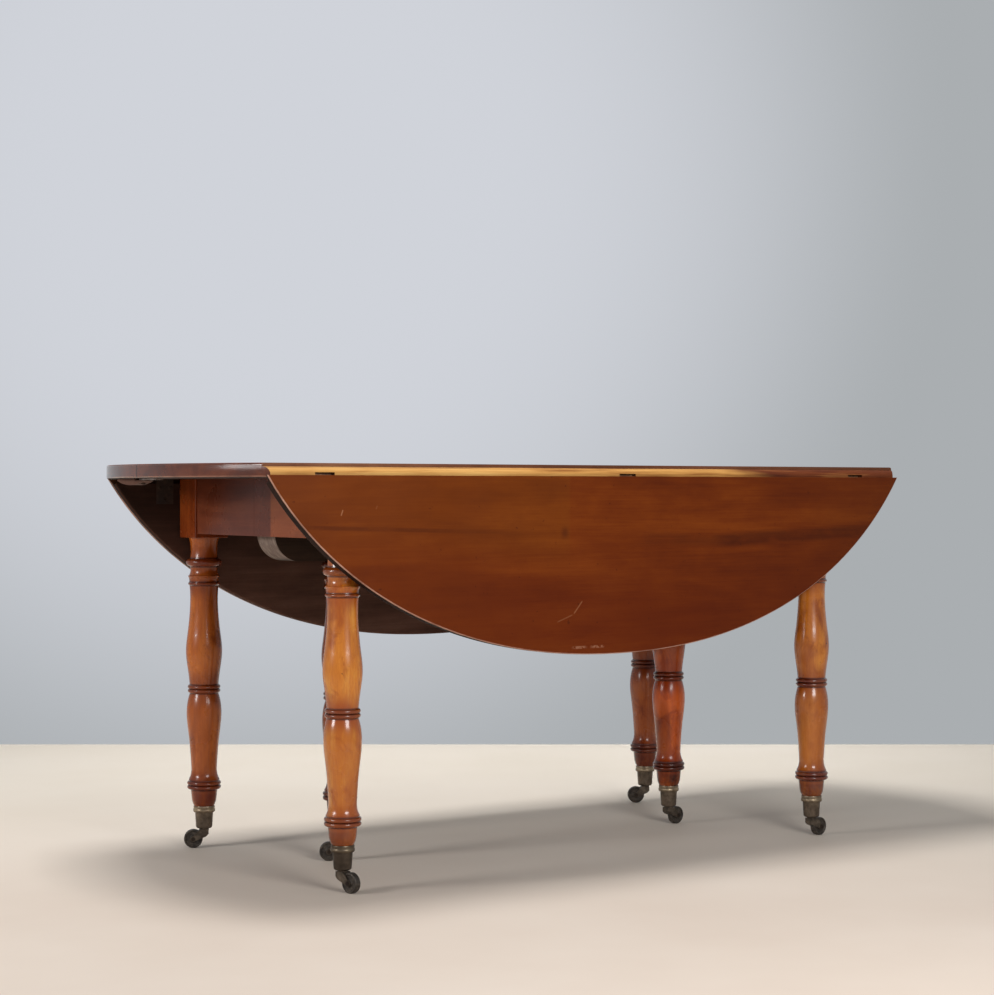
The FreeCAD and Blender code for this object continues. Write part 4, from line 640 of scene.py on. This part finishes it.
for side_name, side in SIDES:
    under_top = [(middle + SCREW_HALF_SPREAD * way, (hinge_line - back) * side, underside)
                 for middle in HINGE_PLACES for back, ways in TOP_SCREW_ROWS for way in ways]
    screws(side_name + "_hinge_screws", under_top, (0, 0, -1), HINGE_SCREW_RADIUS, side_name + "_half")
    leaf_face = (hinge_line - (pivot_height - underside)) * side
    on_leaf = [(middle + SCREW_HALF_SPREAD * way, leaf_face, pivot_height - down)
               for middle in HINGE_PLACES for down, ways in LEAF_SCREW_ROWS for way in ways]
    screws(side_name + "_leaf_hinge_screws", on_leaf, (0, -side, 0), HINGE_SCREW_RADIUS, side_name + "_leaf")
latch_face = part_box("latch_screws")[0].z
cleat_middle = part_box("latch_screws")[1].x - WOOD_SCREW_RADIUS
latch_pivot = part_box("latch_screws")[1].y - WOOD_SCREW_RADIUS
screws("latch_screw_slots", [(cleat_middle * end, latch_pivot, latch_face) for end_name, end in ENDS],
       (0, 0, -1), WOOD_SCREW_RADIUS, "far_half")


# --- stage ---------------------------------------------------------------------------------------------

# The wall stands square to the main view, and the floor ends at its foot.
VIEW_YAW = 0.5853
VIEW_DIRECTION = Vector((math.sin(VIEW_YAW), math.cos(VIEW_YAW), 0.0))
WALL_DISTANCE = 1.6
FLOOR_REACH = 4.2
FLOOR_FADE = (2.6, 4.0)
GLOW_DIRECTION = Vector((0.452, 0.880, 0.148))
GLOW_EDGE, GLOW_HEART = 0.948, 0.998
WALL_DARK, WALL_LIGHT = srgb("aaaeb1"), srgb("d0d3da")
FLOOR_TONE = srgb("ded1c3")
WORLD_LIGHT = 0.25


def floor_material():
    """Pale floor that ends at the wall's foot and fades out in all other directions."""
    m = Material("studio_floor")
    mottle = m.noise(m.position, 1.6, 4, 0.55)
    depth = m.calc("ADD", m.both(m.place[0], VIEW_DIRECTION.x), m.both(m.place[1], VIEW_DIRECTION.y))
    # the floor is painted paler towards the wall, as painted light
    front = m.ramp(mottle, [(0.3, srgb("d6c6b7")), (0.7, srgb("ddcfc1"))])
    back = m.ramp(mottle, [(0.3, srgb("faeedd")), (0.7, srgb("fff4e5"))])
    m.finish(m.mix(m.span(depth, -0.9, 1.1), front, back), 0.7)
    away = m.calc("SQRT", m.calc("ADD", m.both(m.place[0], m.place[0]), m.both(m.place[1], m.place[1])))
    fade = m.either(m.span(away, *FLOOR_FADE), m.above(depth, WALL_DISTANCE, 0.02))
    clear = m.add("ShaderNodeBsdfTransparent")
    blend = m.add("ShaderNodeMixShader", {0: fade, 1: m.shader.outputs[0], 2: clear.outputs[0]})
    output = [node for node in m.tree.nodes if node.type == "OUTPUT_MATERIAL"][0]
    m.tree.links.new(blend.outputs[0], output.inputs["Surface"])
    return m.material


def build_floor(shape):
    corners = ((-1, -1), (1, -1), (1, 1), (-1, 1))
    shape.faces.new([shape.verts.new((x * FLOOR_REACH, y * FLOOR_REACH, 0)) for x, y in corners])


mesh_object("floor", build_floor, floor_material())


def studio_world():
    """Even, dim light all round; camera, glossy and transmitted rays see a pale wall with a soft glow."""
    world = bpy.data.worlds.new("studio")
    bpy.context.scene.world = world
    world.use_nodes = True
    tree = world.node_tree
    tree.nodes.clear()

    def add(kind, inputs, **settings):
        node = tree.nodes.new(kind)
        for key, value in settings.items():
            setattr(node, key, value)
        for key, value in inputs.items():
            if isinstance(value, bpy.types.NodeSocket):
                tree.links.new(value, node.inputs[key])
            else:
                node.inputs[key].default_value = value
        return node

    direction = tree.nodes.new("ShaderNodeTexCoord").outputs["Generated"]
    towards = add("ShaderNodeVectorMath", {0: direction, 1: GLOW_DIRECTION.normalized()},
                  operation="DOT_PRODUCT")
    glow = add("ShaderNodeMapRange", {"Value": towards.outputs["Value"], "From Min": GLOW_EDGE,
                                      "From Max": GLOW_HEART}, interpolation_type="SMOOTHSTEP")
    wall = add("ShaderNodeMix", {0: glow.outputs[0], 6: WALL_DARK, 7: WALL_LIGHT}, data_type="RGBA")
    height = add("ShaderNodeSeparateXYZ", {0: direction}).outputs[2]
    down = add("ShaderNodeMapRange", {"Value": height, "From Min": -0.13, "From Max": -0.22},
               interpolation_type="SMOOTHSTEP")
    around = add("ShaderNodeMix", {0: down.outputs[0], 6: wall.outputs[2], 7: FLOOR_TONE}, data_type="RGBA")
    light = add("ShaderNodeBackground", {"Color": srgb("eef1f5"), "Strength": WORLD_LIGHT})
    seen = add("ShaderNodeBackground", {"Color": around.outputs[2]})
    path = tree.nodes.new("ShaderNodeLightPath").outputs
    mirrored = add("ShaderNodeMath", {0: path["Is Glossy Ray"], 1: path["Is Transmission Ray"]},
                   operation="MAXIMUM")
    shown = add("ShaderNodeMath", {0: path["Is Camera Ray"], 1: mirrored.outputs[0]}, operation="MAXIMUM")
    mix = add("ShaderNodeMixShader", {0: shown.outputs[0], 1: light.outputs[0], 2: seen.outputs[0]})
    add("ShaderNodeOutputWorld", {"Surface": mix.outputs[0]})


def softbox(name, place, target, width, height, power, spread=math.pi):
    """A rectangular area light of so many watts that points at a target."""
    lamp = bpy.data.lights.new(name, "AREA")
    lamp.shape = "RECTANGLE"
    lamp.size = width
    lamp.size_y = height
    lamp.energy = power
    lamp.spread = spread
    obj = bpy.data.objects.new(name, lamp)
    obj.location = place
    obj.rotation_euler = (Vector(target) - Vector(place)).to_track_quat("-Z", "Y").to_euler()
    bpy.context.scene.collection.objects.link(obj)


studio_world()
softbox("overhead", (-0.6, 0.2, 3.6), (0, 0, 0.5), 0.9, 0.9, 72)
softbox("front", (-0.4, -2.5, 1.2), (-0.1, 0, 0.45), 0.9, 0.65, 27)
softbox("left", (-3.2, 0.1, 1.3), (-0.4, 0, 0.45), 0.8, 0.6, 31)
# a long strip over the wall's foot, which lights only the floor there
back_place = VIEW_DIRECTION * 1.4 + Vector((0, 0, 2.6))
softbox("back", back_place, VIEW_DIRECTION * 1.5, 2.8, 0.2, 2.2, math.radians(46))


# --- camera ----------------------------------------------------------------------------------------------

CAMERA_PLACE = (-2.3409, -3.4755, 0.6945)
CAMERA_PITCH = -0.0036
FOCAL_PIXELS = 2122.9
IMAGE_LONG_SIDE = 995
SENSOR = 36.0

camera = bpy.data.objects.new("camera", bpy.data.cameras.new("camera"))
camera.data.sensor_width = SENSOR
camera.data.lens = FOCAL_PIXELS * SENSOR / IMAGE_LONG_SIDE
camera.data.clip_end = 50
camera.location = CAMERA_PLACE
camera.rotation_euler = (math.pi / 2 + CAMERA_PITCH, 0, -VIEW_YAW)
bpy.context.scene.collection.objects.link(camera)
bpy.context.scene.camera = camera
bpy.context.scene.view_settings.view_transform = "Standard"
